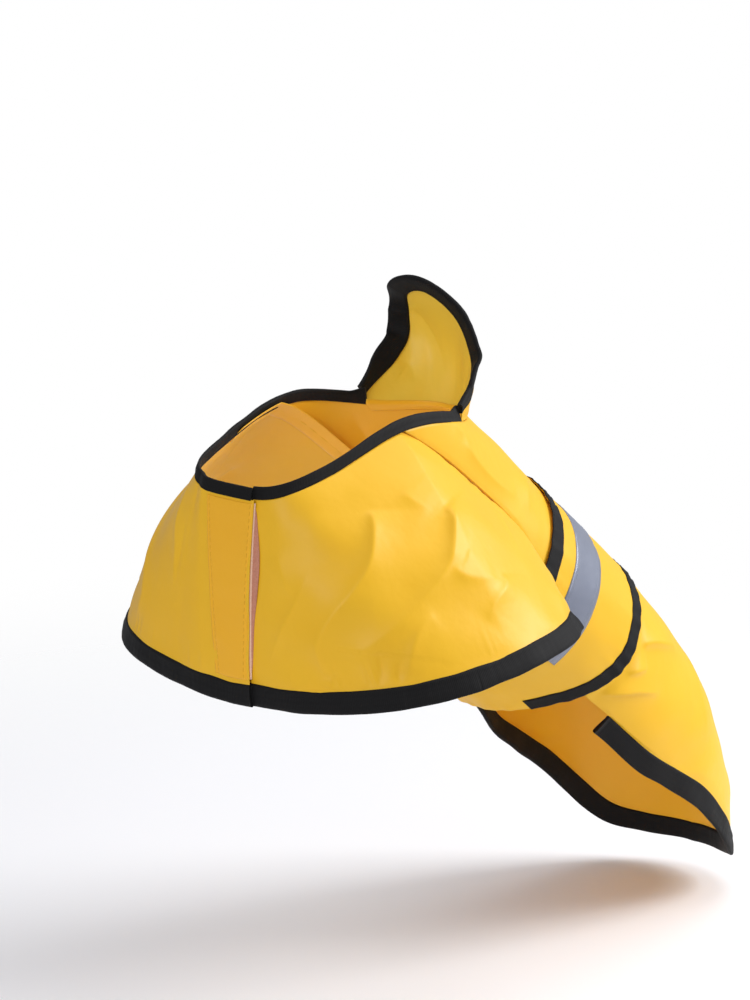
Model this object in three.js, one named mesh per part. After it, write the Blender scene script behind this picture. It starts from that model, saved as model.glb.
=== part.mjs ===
// Hooded raincoat for a small dog, worn and hollow: back panel, cape, girth belt, hood and bindings.
// Millimetres, +Z up, the wearer faces -Y and its left is +X. The origin is at the nape, where the
// neck of the coat rests on the wearer.
import * as THREE from "three";

// Cloth, tape and gaps
const CLOTH = 1.2; // wall of the coated cloth
const SEAM_GAP = 0.35; // between pieces that are sewn to each other
const TAPE_WIDTH = 11.5; // binding round the hems and the hood
const TAPE_THICK = 2.8; // folded tape with the cloth's edge inside
const TRIM_THICK = 0.9; // single tape sewn flat
const BELT_LIFT = 1.6; // outer face of the belt above the back panel's
const RIM_STEPS = 8; // points round a binding
const RIM_SQUARE = 0.35; // power that flattens its two faces

// Body of the coat: a bent tube from the neck ring to the tail, one row for each section.
// s is the length along the back, y and z the middle of the back there, lean the tilt of the section,
// half its half width and deep its half depth.
const BODY = [
  { s: 0, y: 0, z: 0, lean: 4, half: 40, deep: 82 },
  { s: 30, y: 23.5, z: -18.5, lean: 28, half: 42, deep: 68 },
  { s: 60, y: 45, z: -39, lean: 44, half: 46, deep: 57 },
  { s: 110, y: 83, z: -72, lean: 48, half: 49, deep: 52 },
  { s: 170, y: 128.5, z: -111.5, lean: 47, half: 52, deep: 53 },
  { s: 215, y: 160, z: -144, lean: 43, half: 55, deep: 56 },
  { s: 250, y: 181, z: -170, lean: 34, half: 55, deep: 56 },
  { s: 290, y: 197, z: -205, lean: 22, half: 54, deep: 52 },
  { s: 325, y: 208, z: -239, lean: 14, half: 51, deep: 47 },
  { s: 375, y: 216, z: -288, lean: 5, half: 46, deep: 42 },
];
// The neck ring stands higher at the sides of the neck; turn is degrees from the middle of the back.
const NECK_LIFT = [
  { turn: 0, rise: 0 },
  { turn: 40, rise: 3 },
  { turn: 92, rise: 17 },
  { turn: 130, rise: 8 },
  { turn: 180, rise: 0 },
];
const NECK_LIFT_FADE = 28; // length along the back over which the lift dies out
const FRONT_SQUARE = 0.68; // how far the front of the neck ring is squared
const FRONT_SQUARE_FADE = 12;
const LINE_STEPS = 24; // chords that a line's length is measured with

// Edge of the back panel: the seam to the cape, then the free side under the cape and the belt.
const BACK_EDGE = [
  { s: 0, turn: 92 },
  { s: 14, turn: 78 },
  { s: 28, turn: 71 },
  { s: 40, turn: 70 },
  { s: 50, turn: 73 },
  { s: 70, turn: 92 },
  { s: 100, turn: 112 },
  { s: 130, turn: 121 },
  { s: 150, turn: 123 },
];
const TAIL_START = 150; // length along the back where the tail stretch begins
// Tail edge: share is the place across the panel, from its middle 0 to its side 1.
const TAIL_EDGE = [
  { share: 0, s: 361, turn: 0 },
  { share: 0.22, s: 358, turn: 34 },
  { share: 0.4, s: 348, turn: 58 },
  { share: 0.55, s: 326, turn: 75 },
  { share: 0.68, s: 298, turn: 88 },
  { share: 0.8, s: 262, turn: 101 },
  { share: 0.9, s: 218, turn: 111 },
  { share: 1, s: 164, turn: 121 },
];

// Cape, one row for each radial line from the middle of the front, 0, to the rear corner, 1: where it
// starts on the neck ring or the seam, its hem point, and how far its middle is pushed out and up.
const CAPE = [
  { u: 0, s: 0, turn: 180, x: 0, y: -163, z: -115, out: 4, up: 2 },
  { u: 0.16, s: 0, turn: 168, x: 45, y: -162, z: -112, out: 5, up: 3 },
  { u: 0.32, s: 0, turn: 148, x: 84, y: -150, z: -106, out: 6, up: 6 },
  { u: 0.48, s: 0, turn: 120, x: 107, y: -121, z: -101, out: 9, up: 10 },
  { u: 0.62, s: 0, turn: 94, x: 116, y: -90, z: -96.5, out: 10, up: 14 },
  { u: 0.78, s: 20, turn: 75.3, x: 116.5, y: -61, z: -91.5, out: 9, up: 13 },
  { u: 0.9, s: 38, turn: 70, x: 112, y: -44, z: -88.5, out: 6, up: 10 },
  { u: 1, s: 48, turn: 73, x: 105.5, y: -32, z: -86.5, out: 3, up: 6 },
];
const CAPE_FAN = 105; // degrees that the outward push turns through from the front to the rear corner
const CAPE_TOP = 0.006; // share of a line where the cloth starts, just off the seam
const CAPE_END = 0.997; // the hem tape stops short of the rear corner
const FRONT_OVERLAP = 0.04; // each front runs this far past the middle
const FRONT_LIFT = 2.1; // the outer front over the inner one
const HEM_GAP = 0.002; // between the ends of the two hem tapes, in u
const FRONT_LIFT_FADE = { from: 0.06, to: 0.14 }; // u over which the outer front comes down
// Strips down the front: u of the placket's edges, v of both strips' ends, and the fastening strip's
// edge above and below, how far it lies off the inner front and its thickness.
const PLACKET = { inner: -0.03, outer: 0.036 };
const STRIP_ENDS = { top: 0.02, low: 0.87 };
const FASTENING = { above: 0.066, below: 0.046, lift: 0.6, thick: 0.3 };
// Folds of the cape, from one end to the other: side is 1 on the wearer's left, deep is below zero for
// a trough.
const CAPE_FOLDS = [
  { side: 1, u0: 0.47, v0: 0.25, u1: 0.24, v1: 0.64, wide: 0.045, deep: -2.2 },
  { side: 1, u0: 0.61, v0: 0.36, u1: 0.36, v1: 0.68, wide: 0.05, deep: -2.6 },
  { side: 1, u0: 0.68, v0: 0.66, u1: 0.57, v1: 0.8, wide: 0.03, deep: -1.2 },
  { side: 1, u0: 0.36, v0: 0.75, u1: 0.34, v1: 0.9, wide: 0.02, deep: -0.8 },
  { side: 1, u0: 0.42, v0: 0.76, u1: 0.38, v1: 0.9, wide: 0.02, deep: -0.8 },
  { side: 1, u0: 0.52, v0: 0.2, u1: 0.3, v1: 0.58, wide: 0.05, deep: 1.4 },
  { side: -1, u0: 0.3, v0: 0.02, u1: 0.17, v1: 0.45, wide: 0.04, deep: -1.6 },
  { side: -1, u0: 0.2, v0: 0.15, u1: 0.16, v1: 0.6, wide: 0.04, deep: -1.2 },
  { side: -1, u0: 0.55, v0: 0.25, u1: 0.36, v1: 0.7, wide: 0.05, deep: -2.4 },
  { side: -1, u0: 0.72, v0: 0.4, u1: 0.56, v1: 0.78, wide: 0.045, deep: -1.8 },
];

const FOLD_ENDS = 0.12; // a fold is cut off at this share of a half wave at each end
const FOLD_FADE = { top: 0.1, low: 0.84, end: 0.9 }; // v where the folds are full and where they end

// Girth belt: its front and rear edge along the back, and the trims on it, by turn round the body.
const BELT = [
  { turn: 0, front: 66, rear: 157 },
  { turn: 60, front: 67, rear: 156 },
  { turn: 92, front: 68, rear: 156 },
  { turn: 118, front: 72, rear: 148 },
  { turn: 150, front: 84, rear: 132 },
  { turn: 196, front: 88, rear: 126 },
];
const BELT_END = 193; // both ends pass the middle of the belly to close over each other
const BELT_END_LIFT = 2.6; // the outer end over the inner one
const BELT_LIFT_FADE = { from: 128, to: 160 }; // degrees over which that end rises
const BELT_CLOSURE = { from: 168, to: 190, front: 93, rear: 121, thick: 0.7 };
const STRIP = { from: 88.5, to: 113, turn: 122 };
const BAND_WIDTH = 9.5;
const BAND_TURN = 150;

// Hood rim, from the wearer's right to its left: the outer edge of its binding, and how far the cloth
// under it is pushed back.
const HOOD_RIM = [
  { u: -1, x: -32, y: -31, z: 13.5, back: 0 },
  { u: -0.8, x: -36.5, y: -12, z: 24, back: 5 },
  { u: -0.62, x: -34, y: 2, z: 39, back: 13 },
  { u: -0.45, x: -32, y: -3, z: 55, back: 24 },
  { u: -0.28, x: -27, y: -13, z: 66, back: 32 },
  { u: -0.1, x: -14, y: -16, z: 70, back: 33 },
  { u: 0.07, x: -2, y: -12, z: 65.5, back: 24 },
  { u: 0.25, x: 8, y: -6, z: 56, back: 12 },
  { u: 0.45, x: 16.5, y: -4, z: 43, back: 4 },
  { u: 0.62, x: 21, y: -5, z: 33, back: 1 },
  { u: 0.8, x: 26, y: -14, z: 21, back: 0 },
  { u: 1, x: 32, y: -30, z: 13.5, back: 0 },
];
const HOOD_TAPE_END = 6; // width of its binding where it tapers into the neck seam
const HOOD_TAPER = 0.7; // u where that taper starts
const HOOD_TURN = 50; // the hood is sewn to the neck ring as far as this on each side
const HOOD_MIDDLE = 0.45; // share of the way up its cloth where the push back is strongest
const NECK_TAPE = 5; // width of the tape round the rest of the neck
const NECK_TAPE_THICK = 2.4;
const NECK_TAPE_RISE = 0.5; // its foot above the neck ring
const NECK_TAPE_START = 6; // degrees past the hood's end where it begins
const NECK_TAPE_LEAN = 0.3; // how far it leans in over the neck as it rises
// Degrees where the neck tapes end: the left one stops at the outer front's edge, and the right one
// runs on over the middle. The ring is nearly straight there, so the last degrees are long.
const NECK_TAPE_RISES = 170;
const NECK_TAPE_MEET = 178;
const NECK_TAPE_OVER = [178, 179, 179.6, 179.9, 180, 180.1, 180.4, 181, 181.6];
const SEAM_FROM = 0.62; // the cape's lines start on the back panel's seam past here

const YELLOW = 0xf5cb42;
const BLACK = 0x1c1a1b;
const GREY = 0x969cac;
const SALMON = 0xb8735f;

const UP = new THREE.Vector3(0, 0, 1);
const degrees = THREE.MathUtils.degToRad;
const mix = THREE.MathUtils.lerp;

// Value of a column between the rows of a table, through smooth cubic pieces.
function smooth(rows, key, column, at) {
  const last = rows.length - 1;
  const place = THREE.MathUtils.clamp(at, rows[0][key], rows[last][key]);
  let k = 0;
  while (k < last - 1 && place >= rows[k + 1][key]) k += 1;
  const gap = (i) => rows[i + 1][key] - rows[i][key];
  const rate = (i) => (rows[i + 1][column] - rows[i][column]) / gap(i);
  const slope = (i) => {
    if (i === 0) return rate(0);
    if (i === last) return rate(last - 1);
    return (rate(i - 1) * gap(i) + rate(i) * gap(i - 1)) / (gap(i) + gap(i - 1));
  };
  const h = gap(k);
  const f = (place - rows[k][key]) / h;
  const a = rows[k][column];
  const b = rows[k + 1][column];
  const ends = (2 * f ** 3 - 3 * f ** 2 + 1) * a + (3 * f ** 2 - 2 * f ** 3) * b;
  return ends + h * ((f ** 3 - 2 * f ** 2 + f) * slope(k) + (f ** 3 - f ** 2) * slope(k + 1));
}

function ease(from, to, at) {
  return THREE.MathUtils.smoothstep(at, from, to);
}

// Point of the body tube at length s along the back and turn degrees round it, moved out by lift.
function body(s, turn, lift = 0) {
  const at = (column) => smooth(BODY, "s", column, s);
  const lean = degrees(at("lean"));
  const angle = degrees(turn);
  const rise =
    smooth(NECK_LIFT, "turn", "rise", Math.min(Math.abs(turn), 180)) * Math.exp(-((s / NECK_LIFT_FADE) ** 2));
  let wide = Math.abs(Math.sin(angle));
  if (Math.abs(turn) > 90) wide **= 1 - FRONT_SQUARE * Math.exp(-((s / FRONT_SQUARE_FADE) ** 2));
  const down = at("deep") * (1 - Math.cos(angle)) - lift * Math.cos(angle);
  return new THREE.Vector3(
    (at("half") + lift) * wide * Math.sign(Math.sin(angle)),
    at("y") - down * Math.cos(lean),
    at("z") - down * Math.sin(lean) + rise * Math.cos(lean),
  );
}

// Distance of a place from a fold's line in the cape's own u and v, with the share along the line.
function fromFold(fold, u, v) {
  const du = fold.u1 - fold.u0;
  const dv = fold.v1 - fold.v0;
  const along = ((u - fold.u0) * du + (v - fold.v0) * dv) / (du * du + dv * dv);
  const near = THREE.MathUtils.clamp(along, 0, 1);
  return [Math.hypot(u - fold.u0 - near * du, v - fold.v0 - near * dv), near];
}

// Point of the cape: u runs round it from the middle of the front, plus on the wearer's left, and v
// falls from the neck or the seam, 0, to the hem, 1, along a curve with one middle point.
function capeForm(u, v) {
  const round = Math.abs(u);
  const at = (column) => smooth(CAPE, "u", column, round);
  const top = body(at("s"), at("turn"));
  const hem = new THREE.Vector3(at("x"), at("y"), at("z"));
  const fan = degrees(round * CAPE_FAN);
  const middle = top.clone().add(hem).multiplyScalar(0.5);
  middle.add(new THREE.Vector3(Math.sin(fan) * at("out"), -Math.cos(fan) * at("out"), at("up")));
  const point = top.multiplyScalar((1 - v) ** 2);
  point.addScaledVector(middle, 2 * v * (1 - v)).addScaledVector(hem, v * v);
  if (u < 0) point.x *= -1;
  return point;
}

// How far the folds move the cape's cloth in or out at a place.
function foldDepth(u, v) {
  const side = u < 0 ? -1 : 1;
  let depth = 0;
  for (const fold of CAPE_FOLDS) {
    if (fold.side !== side) continue;
    const [away, near] = fromFold(fold, Math.abs(u), v);
    const swell = Math.sin(Math.PI * mix(FOLD_ENDS, 1 - FOLD_ENDS, near));
    depth += fold.deep * Math.exp(-((away / fold.wide) ** 2)) * swell;
  }
  return depth * ease(0, FOLD_FADE.top, v) * (1 - ease(FOLD_FADE.low, FOLD_FADE.end, v));
}

// Unit normal of a surface at a place, from the differences over a small step.
function normalOf(surface, u, v, step = 1e-3) {
  const across = surface(u + step, v).sub(surface(u - step, v));
  const along = surface(u, v + step).sub(surface(u, v - step));
  return across.cross(along).normalize();
}

// The cape's normal points inwards, so the folds are laid on against it.
function cape(u, v) {
  return capeForm(u, v).addScaledVector(normalOf(capeForm, u, v), -foldDepth(u, v));
}

// Share of a line across a surface at u where the given width is left up to its far end.
function shareBefore(surface, u, wide) {
  const points = steps(0, 1, LINE_STEPS).map((v) => surface(u, v));
  const total = points.slice(1).reduce((sum, p, i) => sum + p.distanceTo(points[i]), 0);
  return 1 - wide / total;
}

// Back panel: u runs across it from side to side, -1 to 1, and v from the neck, 0, through the start
// of the tail, TAIL_SHARE, to the tail edge, 1.
const TAIL_SHARE = 0.45;
const TAIL_TAPE_END = 0.985; // u where the tape round the tail stops
function backPlace(u, v) {
  const share = Math.abs(u);
  const side = u < 0 ? -1 : 1;
  if (v <= TAIL_SHARE) {
    const s = (v / TAIL_SHARE) * TAIL_START;
    return [s, side * share * smooth(BACK_EDGE, "s", "turn", s)];
  }
  const fall = (v - TAIL_SHARE) / (1 - TAIL_SHARE);
  const edge = smooth(BACK_EDGE, "s", "turn", TAIL_START);
  return [
    mix(TAIL_START, smooth(TAIL_EDGE, "share", "s", share), fall),
    side * mix(share * edge, smooth(TAIL_EDGE, "share", "turn", share), fall),
  ];
}

function back(u, v) {
  return body(...backPlace(u, v));
}

// Belt: turn goes round the body and v from its front edge, 0, to its rear edge, 1.
function beltEdge(column, turn) {
  return smooth(BELT, "turn", column, Math.abs(turn));
}

function beltLift(turn) {
  return BELT_END_LIFT * ease(BELT_LIFT_FADE.from, BELT_LIFT_FADE.to, turn);
}

function belt(turn, s) {
  return body(s, turn, beltLift(turn));
}

// Hood: u runs along its rim from right to left and v from the neck seam, 0, to the rim, 1.
function hood(u, v) {
  const foot = body(0, HOOD_TURN * u);
  foot.z += SEAM_GAP;
  const rim = new THREE.Vector3(...["x", "y", "z"].map((c) => smooth(HOOD_RIM, "u", c, u)));
  const middle = foot.clone().lerp(rim, HOOD_MIDDLE);
  middle.y += smooth(HOOD_RIM, "u", "back", u);
  const point = foot.multiplyScalar((1 - v) ** 2);
  return point.addScaledVector(middle, 2 * v * (1 - v)).addScaledVector(rim, v * v);
}

// Closed body from rings of points, each ring closed on itself, with flat ends.
function fromRings(rings) {
  const size = rings[0].length;
  const index = [];
  const last = rings.length - 1;
  for (let i = 0; i < last; i += 1) {
    const next = (i + 1) * size;
    for (let k = 0; k < size; k += 1) {
      const a = i * size + k;
      const b = i * size + ((k + 1) % size);
      const c = next + k;
      const d = next + ((k + 1) % size);
      index.push(a, c, b, b, c, d);
    }
  }
  const points = rings.flat();
  for (const [start, turn] of [[0, 1], [last * size, -1]]) {
    const middle = points.length;
    const ring = points.slice(start, start + size);
    points.push(ring.reduce((sum, p) => sum.add(p), new THREE.Vector3()).divideScalar(size));
    for (let k = 0; k < size; k += 1) {
      const a = start + k;
      const b = start + ((k + 1) % size);
      index.push(...(turn > 0 ? [middle, a, b] : [middle, b, a]));
    }
  }
  return solid(points, index);
}

// Geometry from points and triangles, turned so that its faces point outwards.
function solid(points, index) {
  let volume = 0;
  for (let i = 0; i < index.length; i += 3) {
    const [a, b, c] = [points[index[i]], points[index[i + 1]], points[index[i + 2]]];
    volume += a.dot(b.clone().cross(c));
  }
  const faces = volume < 0 ? index.slice().reverse() : index;
  const geometry = new THREE.BufferGeometry();
  const flat = points.flatMap((p) => [p.x, p.y, p.z]);
  geometry.setAttribute("position", new THREE.Float32BufferAttribute(flat, 3));
  geometry.setIndex(faces);
  geometry.computeVertexNormals();
  return geometry;
}

// Places from one value to another in even steps.
function steps(from, to, count) {
  return Array.from({ length: count + 1 }, (_, i) => mix(from, to, i / count));
}

// Cloth wall on a surface: outside is how far its outer face lies from the surface, a number or a
// function of the place, and sign says which way the surface's normal points out.
function wall(surface, us, vs, { outside = 0, thick = CLOTH, sign = 1 }) {
  const reach = (value, u, v) => (typeof value === "function" ? value(u, v) : value);
  const outer = [];
  const inner = [];
  for (const u of us) {
    for (const v of vs) {
      const point = surface(u, v);
      const normal = normalOf(surface, u, v).multiplyScalar(sign);
      const top = reach(outside, u, v);
      outer.push(point.clone().addScaledVector(normal, top));
      inner.push(point.addScaledVector(normal, top - reach(thick, u, v)));
    }
  }
  const rows = us.length;
  const columns = vs.length;
  const under = outer.length;
  const at = (i, j) => i * columns + j;
  const index = [];
  for (let i = 0; i < rows - 1; i += 1) {
    for (let j = 0; j < columns - 1; j += 1) {
      const [a, b, c, d] = [at(i, j), at(i + 1, j), at(i + 1, j + 1), at(i, j + 1)];
      index.push(a, b, c, a, c, d);
      index.push(under + a, under + c, under + b, under + a, under + d, under + c);
    }
  }
  const edge = [];
  for (let i = 0; i < rows - 1; i += 1) edge.push(at(i, 0));
  for (let j = 0; j < columns - 1; j += 1) edge.push(at(rows - 1, j));
  for (let i = rows - 1; i > 0; i -= 1) edge.push(at(i, columns - 1));
  for (let j = columns - 1; j > 0; j -= 1) edge.push(at(0, j));
  edge.forEach((a, k) => {
    const b = edge[(k + 1) % edge.length];
    index.push(a, under + a, b, b, under + a, under + b);
  });
  return solid([...outer, ...inner], index);
}

// Folded tape along an edge: edgeAt gives the edge point, its outward normal and the way off the cloth.
// Its section's corners lie half a step round from the axes, so they are moved out to the full size.
function tape(edgeAt, places, wide, thick = TAPE_THICK) {
  const corner = Math.cos(Math.PI / RIM_STEPS);
  const rings = places.map((place) => {
    const [point, normal, off] = edgeAt(place);
    const width = typeof wide === "function" ? wide(place) : wide;
    const centre = point.clone().addScaledVector(off, SEAM_GAP + width / 2);
    return Array.from({ length: RIM_STEPS }, (_, k) => {
      const angle = ((k + 0.5) / RIM_STEPS) * 2 * Math.PI;
      const flat = Math.sign(Math.cos(angle)) * (Math.abs(Math.cos(angle)) / corner) ** RIM_SQUARE;
      const across = (flat * width) / 2;
      const through = (Math.sin(angle) * thick) / corner / 2;
      return centre.clone().addScaledVector(off, across).addScaledVector(normal, through);
    });
  });
  return fromRings(rings);
}

// Edge of a surface where v is the edge's place: the middle of the cloth there, its outward normal and
// the way off the cloth; sign turns the surface's normal outwards.
function edgeOf(surface, vAt, sign, half = CLOTH / 2) {
  const step = 2e-3;
  const before = 0.02;
  return (u) => {
    const v = vAt(u);
    const normal = normalOf(surface, u, v).multiplyScalar(sign);
    const along = surface(u + step, vAt(u + step)).sub(surface(u - step, vAt(u - step)));
    const off = new THREE.Vector3().crossVectors(normal, along).normalize();
    if (off.dot(surface(u, v).sub(surface(u, v - before))) < 0) off.negate();
    return [surface(u, v).addScaledVector(normal, -half), normal, off];
  };
}

const coat = new THREE.Group();
const finish = (color, roughness) => new THREE.MeshStandardMaterial({ color, roughness, metalness: 0 });
const yellow = () => finish(YELLOW, 0.45);
const black = () => finish(BLACK, 0.8);

function add(name, geometry, material) {
  const mesh = new THREE.Mesh(geometry, material);
  mesh.name = name;
  coat.add(mesh);
}

// Back panel and the tape round its tail
function addBack() {
  const us = steps(-1, 1, 30);
  const vs = [...steps(0, TAIL_SHARE, 14), ...steps(TAIL_SHARE, 1, 15).slice(1)];
  add("back_panel", wall(back, us, vs, {}), yellow());
  const places = steps(-TAIL_TAPE_END, TAIL_TAPE_END, 46);
  add("tail_binding", tape(edgeOf(back, () => 1, 1), places, TAPE_WIDTH), black());
}

// One front of the cape and the tape along its hem; the wearer's right front closes over the left.
function addFront(word, side) {
  const end = (u) => shareBefore(capeForm, side * u, TAPE_WIDTH);
  const grid = (u, share) => cape(side * u, mix(CAPE_TOP, end(u), share));
  const { from, to } = FRONT_LIFT_FADE;
  const lift = (u) => (side < 0 ? FRONT_LIFT * (1 - ease(from, to, u)) : 0);
  const us = [...steps(-FRONT_OVERLAP, SEAM_FROM, 19), ...steps(SEAM_FROM, 1, 11).slice(1)];
  add("cape_" + word, wall(grid, us, steps(0, 1, 14), { outside: lift, sign: -side }), yellow());
  const edge = (u) => edgeOf(grid, () => 1, -side, CLOTH / 2 - lift(u))(u);
  const start = side < 0 ? -FRONT_OVERLAP : FRONT_OVERLAP + HEM_GAP;
  add("hem_binding_" + word, tape(edge, steps(start, CAPE_END, 32), TAPE_WIDTH), black());
}

// Strip stitched down the free edge of the outer front, and the fastening strip under that edge
function addFrontStrips() {
  const vs = steps(STRIP_ENDS.top, STRIP_ENDS.low, 12);
  const outside = FRONT_LIFT + SEAM_GAP + TRIM_THICK;
  const us = steps(PLACKET.inner, PLACKET.outer, 4);
  add("placket", wall(cape, us, vs, { outside, thick: TRIM_THICK, sign: -1 }), yellow());
  const show = (v) => mix(FASTENING.above, FASTENING.below, ease(0.35, 0.7, v));
  const under = (share, v) => cape(mix(PLACKET.inner, show(v), share), v);
  const laid = { outside: FASTENING.lift, thick: FASTENING.thick, sign: -1 };
  add("fastening_strip", wall(under, steps(0, 1, 5), vs, laid), finish(SALMON, 0.9));
}

// Girth belt with its reflective strip, its two black bands and the closure of its ends
function addBelt() {
  const across = (turn, share) => belt(turn, mix(beltEdge("front", turn), beltEdge("rear", turn), share));
  const round = steps(-BELT_END, BELT_END, 56);
  add("belt", wall(across, round, steps(0, 1, 6), { outside: BELT_LIFT }), yellow());
  const trim = BELT_LIFT + SEAM_GAP + TRIM_THICK;
  const laid = { outside: trim, thick: TRIM_THICK };
  const strip = (turn, share) => belt(turn, mix(STRIP.from, STRIP.to, share));
  const reach = steps(-STRIP.turn, STRIP.turn, 32);
  add("reflective_strip", wall(strip, reach, [0, 0.5, 1], laid), finish(GREY, 0.35));
  const front = (turn, share) => belt(turn, beltEdge("front", turn) + share * BAND_WIDTH);
  add("band_front", wall(front, steps(-BAND_TURN, BAND_TURN, 40), [0, 0.5, 1], laid), black());
  const rear = (turn, share) => belt(turn, beltEdge("rear", turn) - share * BAND_WIDTH);
  add("band_rear", wall(rear, steps(-BAND_TURN, BAND_TURN, 40), [0, 0.5, 1], laid), black());
  const { from, to, front: near, rear: far, thick } = BELT_CLOSURE;
  const closure = (turn, share) => body(mix(near, far, share), turn);
  const seat = BELT_LIFT + SEAM_GAP + thick;
  add("belt_closure", wall(closure, steps(from, to, 6), [0, 0.5, 1], { outside: seat, thick }), black());
}

// Hood with the tape round its rim
function addHood() {
  const width = (u) => mix(TAPE_WIDTH, HOOD_TAPE_END, ease(HOOD_TAPER, 1, Math.abs(u)));
  const grid = (u, share) => hood(u, shareBefore(hood, u, width(u)) * share);
  const places = steps(-1, 1, 44);
  add("hood", wall(grid, places.slice(1, -1), steps(0, 1, 8), { sign: -1 }), yellow());
  add("hood_binding", tape(edgeOf(grid, () => 1, -1), places, width), black());
}

// Tape round the neck in front of the hood; the right one rises with the outer front at its end.
function addNeckTape(word, side) {
  const centre = BODY[0].deep;
  const edge = (turn) => {
    const rise = side < 0 ? FRONT_LIFT * ease(NECK_TAPE_RISES, NECK_TAPE_MEET, turn) : 0;
    const point = body(0, side * turn, rise - CLOTH / 2);
    const radial = new THREE.Vector3(point.x, point.y + centre, 0).normalize();
    const normal = radial.clone().addScaledVector(UP, NECK_TAPE_LEAN).normalize();
    const off = UP.clone().addScaledVector(radial, -NECK_TAPE_LEAN).normalize();
    return [point.addScaledVector(off, NECK_TAPE_RISE), normal, off];
  };
  const round = steps(HOOD_TURN + NECK_TAPE_START, NECK_TAPE_MEET, 20);
  const places = side < 0 ? [...round, ...NECK_TAPE_OVER.slice(1)] : round;
  add("neck_binding_" + word, tape(edge, places, NECK_TAPE, NECK_TAPE_THICK), black());
}

addBack();
addFront("left", 1);
addFront("right", -1);
addFrontStrips();
addBelt();
addHood();
addNeckTape("left", 1);
addNeckTape("right", -1);

export default coat;
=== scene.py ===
# %% [markdown]
# Hooded raincoat for a small dog
# The coat hangs as it is worn: hollow, open at the neck, under the chest and at the tail. Its fixed
# frame is a set of closed walls, one for each piece that is cut and sewn. Here each wall gets its fine
# skin of cloth, tape and thread, made as surfaces worked out with numpy in the same frame.

import bpy
import numpy as np
from mathutils import Matrix, Vector


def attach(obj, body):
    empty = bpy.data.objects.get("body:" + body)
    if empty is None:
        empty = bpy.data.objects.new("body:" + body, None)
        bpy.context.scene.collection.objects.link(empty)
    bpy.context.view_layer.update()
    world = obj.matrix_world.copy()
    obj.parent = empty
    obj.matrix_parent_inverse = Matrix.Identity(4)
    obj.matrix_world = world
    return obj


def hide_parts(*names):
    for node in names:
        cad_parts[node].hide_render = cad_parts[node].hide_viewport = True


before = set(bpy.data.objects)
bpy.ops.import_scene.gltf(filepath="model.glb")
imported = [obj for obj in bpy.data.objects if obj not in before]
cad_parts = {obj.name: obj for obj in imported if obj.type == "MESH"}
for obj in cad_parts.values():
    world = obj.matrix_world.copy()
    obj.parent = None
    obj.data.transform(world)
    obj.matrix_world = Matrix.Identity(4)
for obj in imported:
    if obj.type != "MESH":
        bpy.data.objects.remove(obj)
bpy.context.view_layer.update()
print("nodes in the frame:", len(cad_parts))

# %% [markdown]
# Sizes
# A sewn thing repeats a few sizes: the thickness of the cloth, the width of the tape and the length of
# a stitch. Naming them once keeps every piece in step. All are millimetres until a mesh is made.

# %% Sizes
MM = 0.001
CLOTH = 0.5  # coated cloth with its seam allowance, thinner than the wall that carries it
WALL = 1.2  # the wall of the frame's panels
GAP = 0.35  # between sewn pieces in the frame
LINING = 0.3  # thickness of seam tapes and of the fastening tape
TAPE = 11.5  # width of a folded tape
TAPE_THICK = 2.8
BELT_LIFT = 1.6  # the belt over the back panel
FRONT_LIFT = 2.1  # the outer front over the other one
TUCK = 4.5  # how far the cloth runs into a folded tape
STITCH, STITCH_GAP = 2.6, 0.7
THREAD = 0.22  # half the thickness of the thread
print("tape", TAPE, "mm wide, stitches", STITCH, "mm long")


# %% [markdown]
# Tables and smooth curves
# A garment's outline is best kept as a few measured rows, as on a pattern card. Between the rows a
# curve has to run smoothly. A cubic piece between each pair of rows, with its slope taken from its
# neighbours, gives that with no overshoot to speak of, and it works on a whole array at once.

# %% Tables
def table(names, *rows):
    """Rows of numbers as a dictionary of named columns."""
    return dict(zip(names.split(), np.array(rows, float).T))


def smooth(rows, key, column, at):
    """Value of a column at a place: cubic Hermite pieces, the slope at a row being its neighbours'
    rates weighted by the other one's gap."""
    t, v = rows[key], rows[column]
    at = np.clip(np.asarray(at, float), t[0], t[-1])
    gap = np.diff(t)
    rate = np.diff(v) / gap
    inner = (rate[:-1] * gap[1:] + rate[1:] * gap[:-1]) / (gap[1:] + gap[:-1])
    slope = np.concatenate([rate[:1], inner, rate[-1:]])
    k = np.clip(np.searchsorted(t, at, side="right") - 1, 0, len(t) - 2)
    f = (at - t[k]) / gap[k]
    ends = (2 * f**3 - 3 * f**2 + 1) * v[k] + (3 * f**2 - 2 * f**3) * v[k + 1]
    return ends + gap[k] * ((f**3 - 2 * f**2 + f) * slope[k] + (f**3 - f**2) * slope[k + 1])


def ease(start, end, at):
    """0 before start, 1 after end, and three t squared less two t cubed between."""
    t = np.clip((np.asarray(at, float) - start) / (end - start), 0, 1)
    return t * t * (3 - 2 * t)


def mix(a, b, share):
    """Straight blend from a to b."""
    return a + (b - a) * share


def unit(vectors):
    """Each vector over its own length."""
    return vectors / np.linalg.norm(vectors, axis=-1, keepdims=True)


def run_along(path):
    """Distance run along a line of points, from its start."""
    return np.concatenate([[0], np.cumsum(np.linalg.norm(np.diff(path, axis=0), axis=-1))])


# %% [markdown]
# The form of the body
# The back of the coat is one bent tube from the neck ring to the tail. Its sections lie nearly level at
# the neck, stand up to 48 degrees where the back slopes, and lie nearly level again at the tail, where
# the back hangs down. A point is found from the length along the back and the turn round the body.

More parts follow.
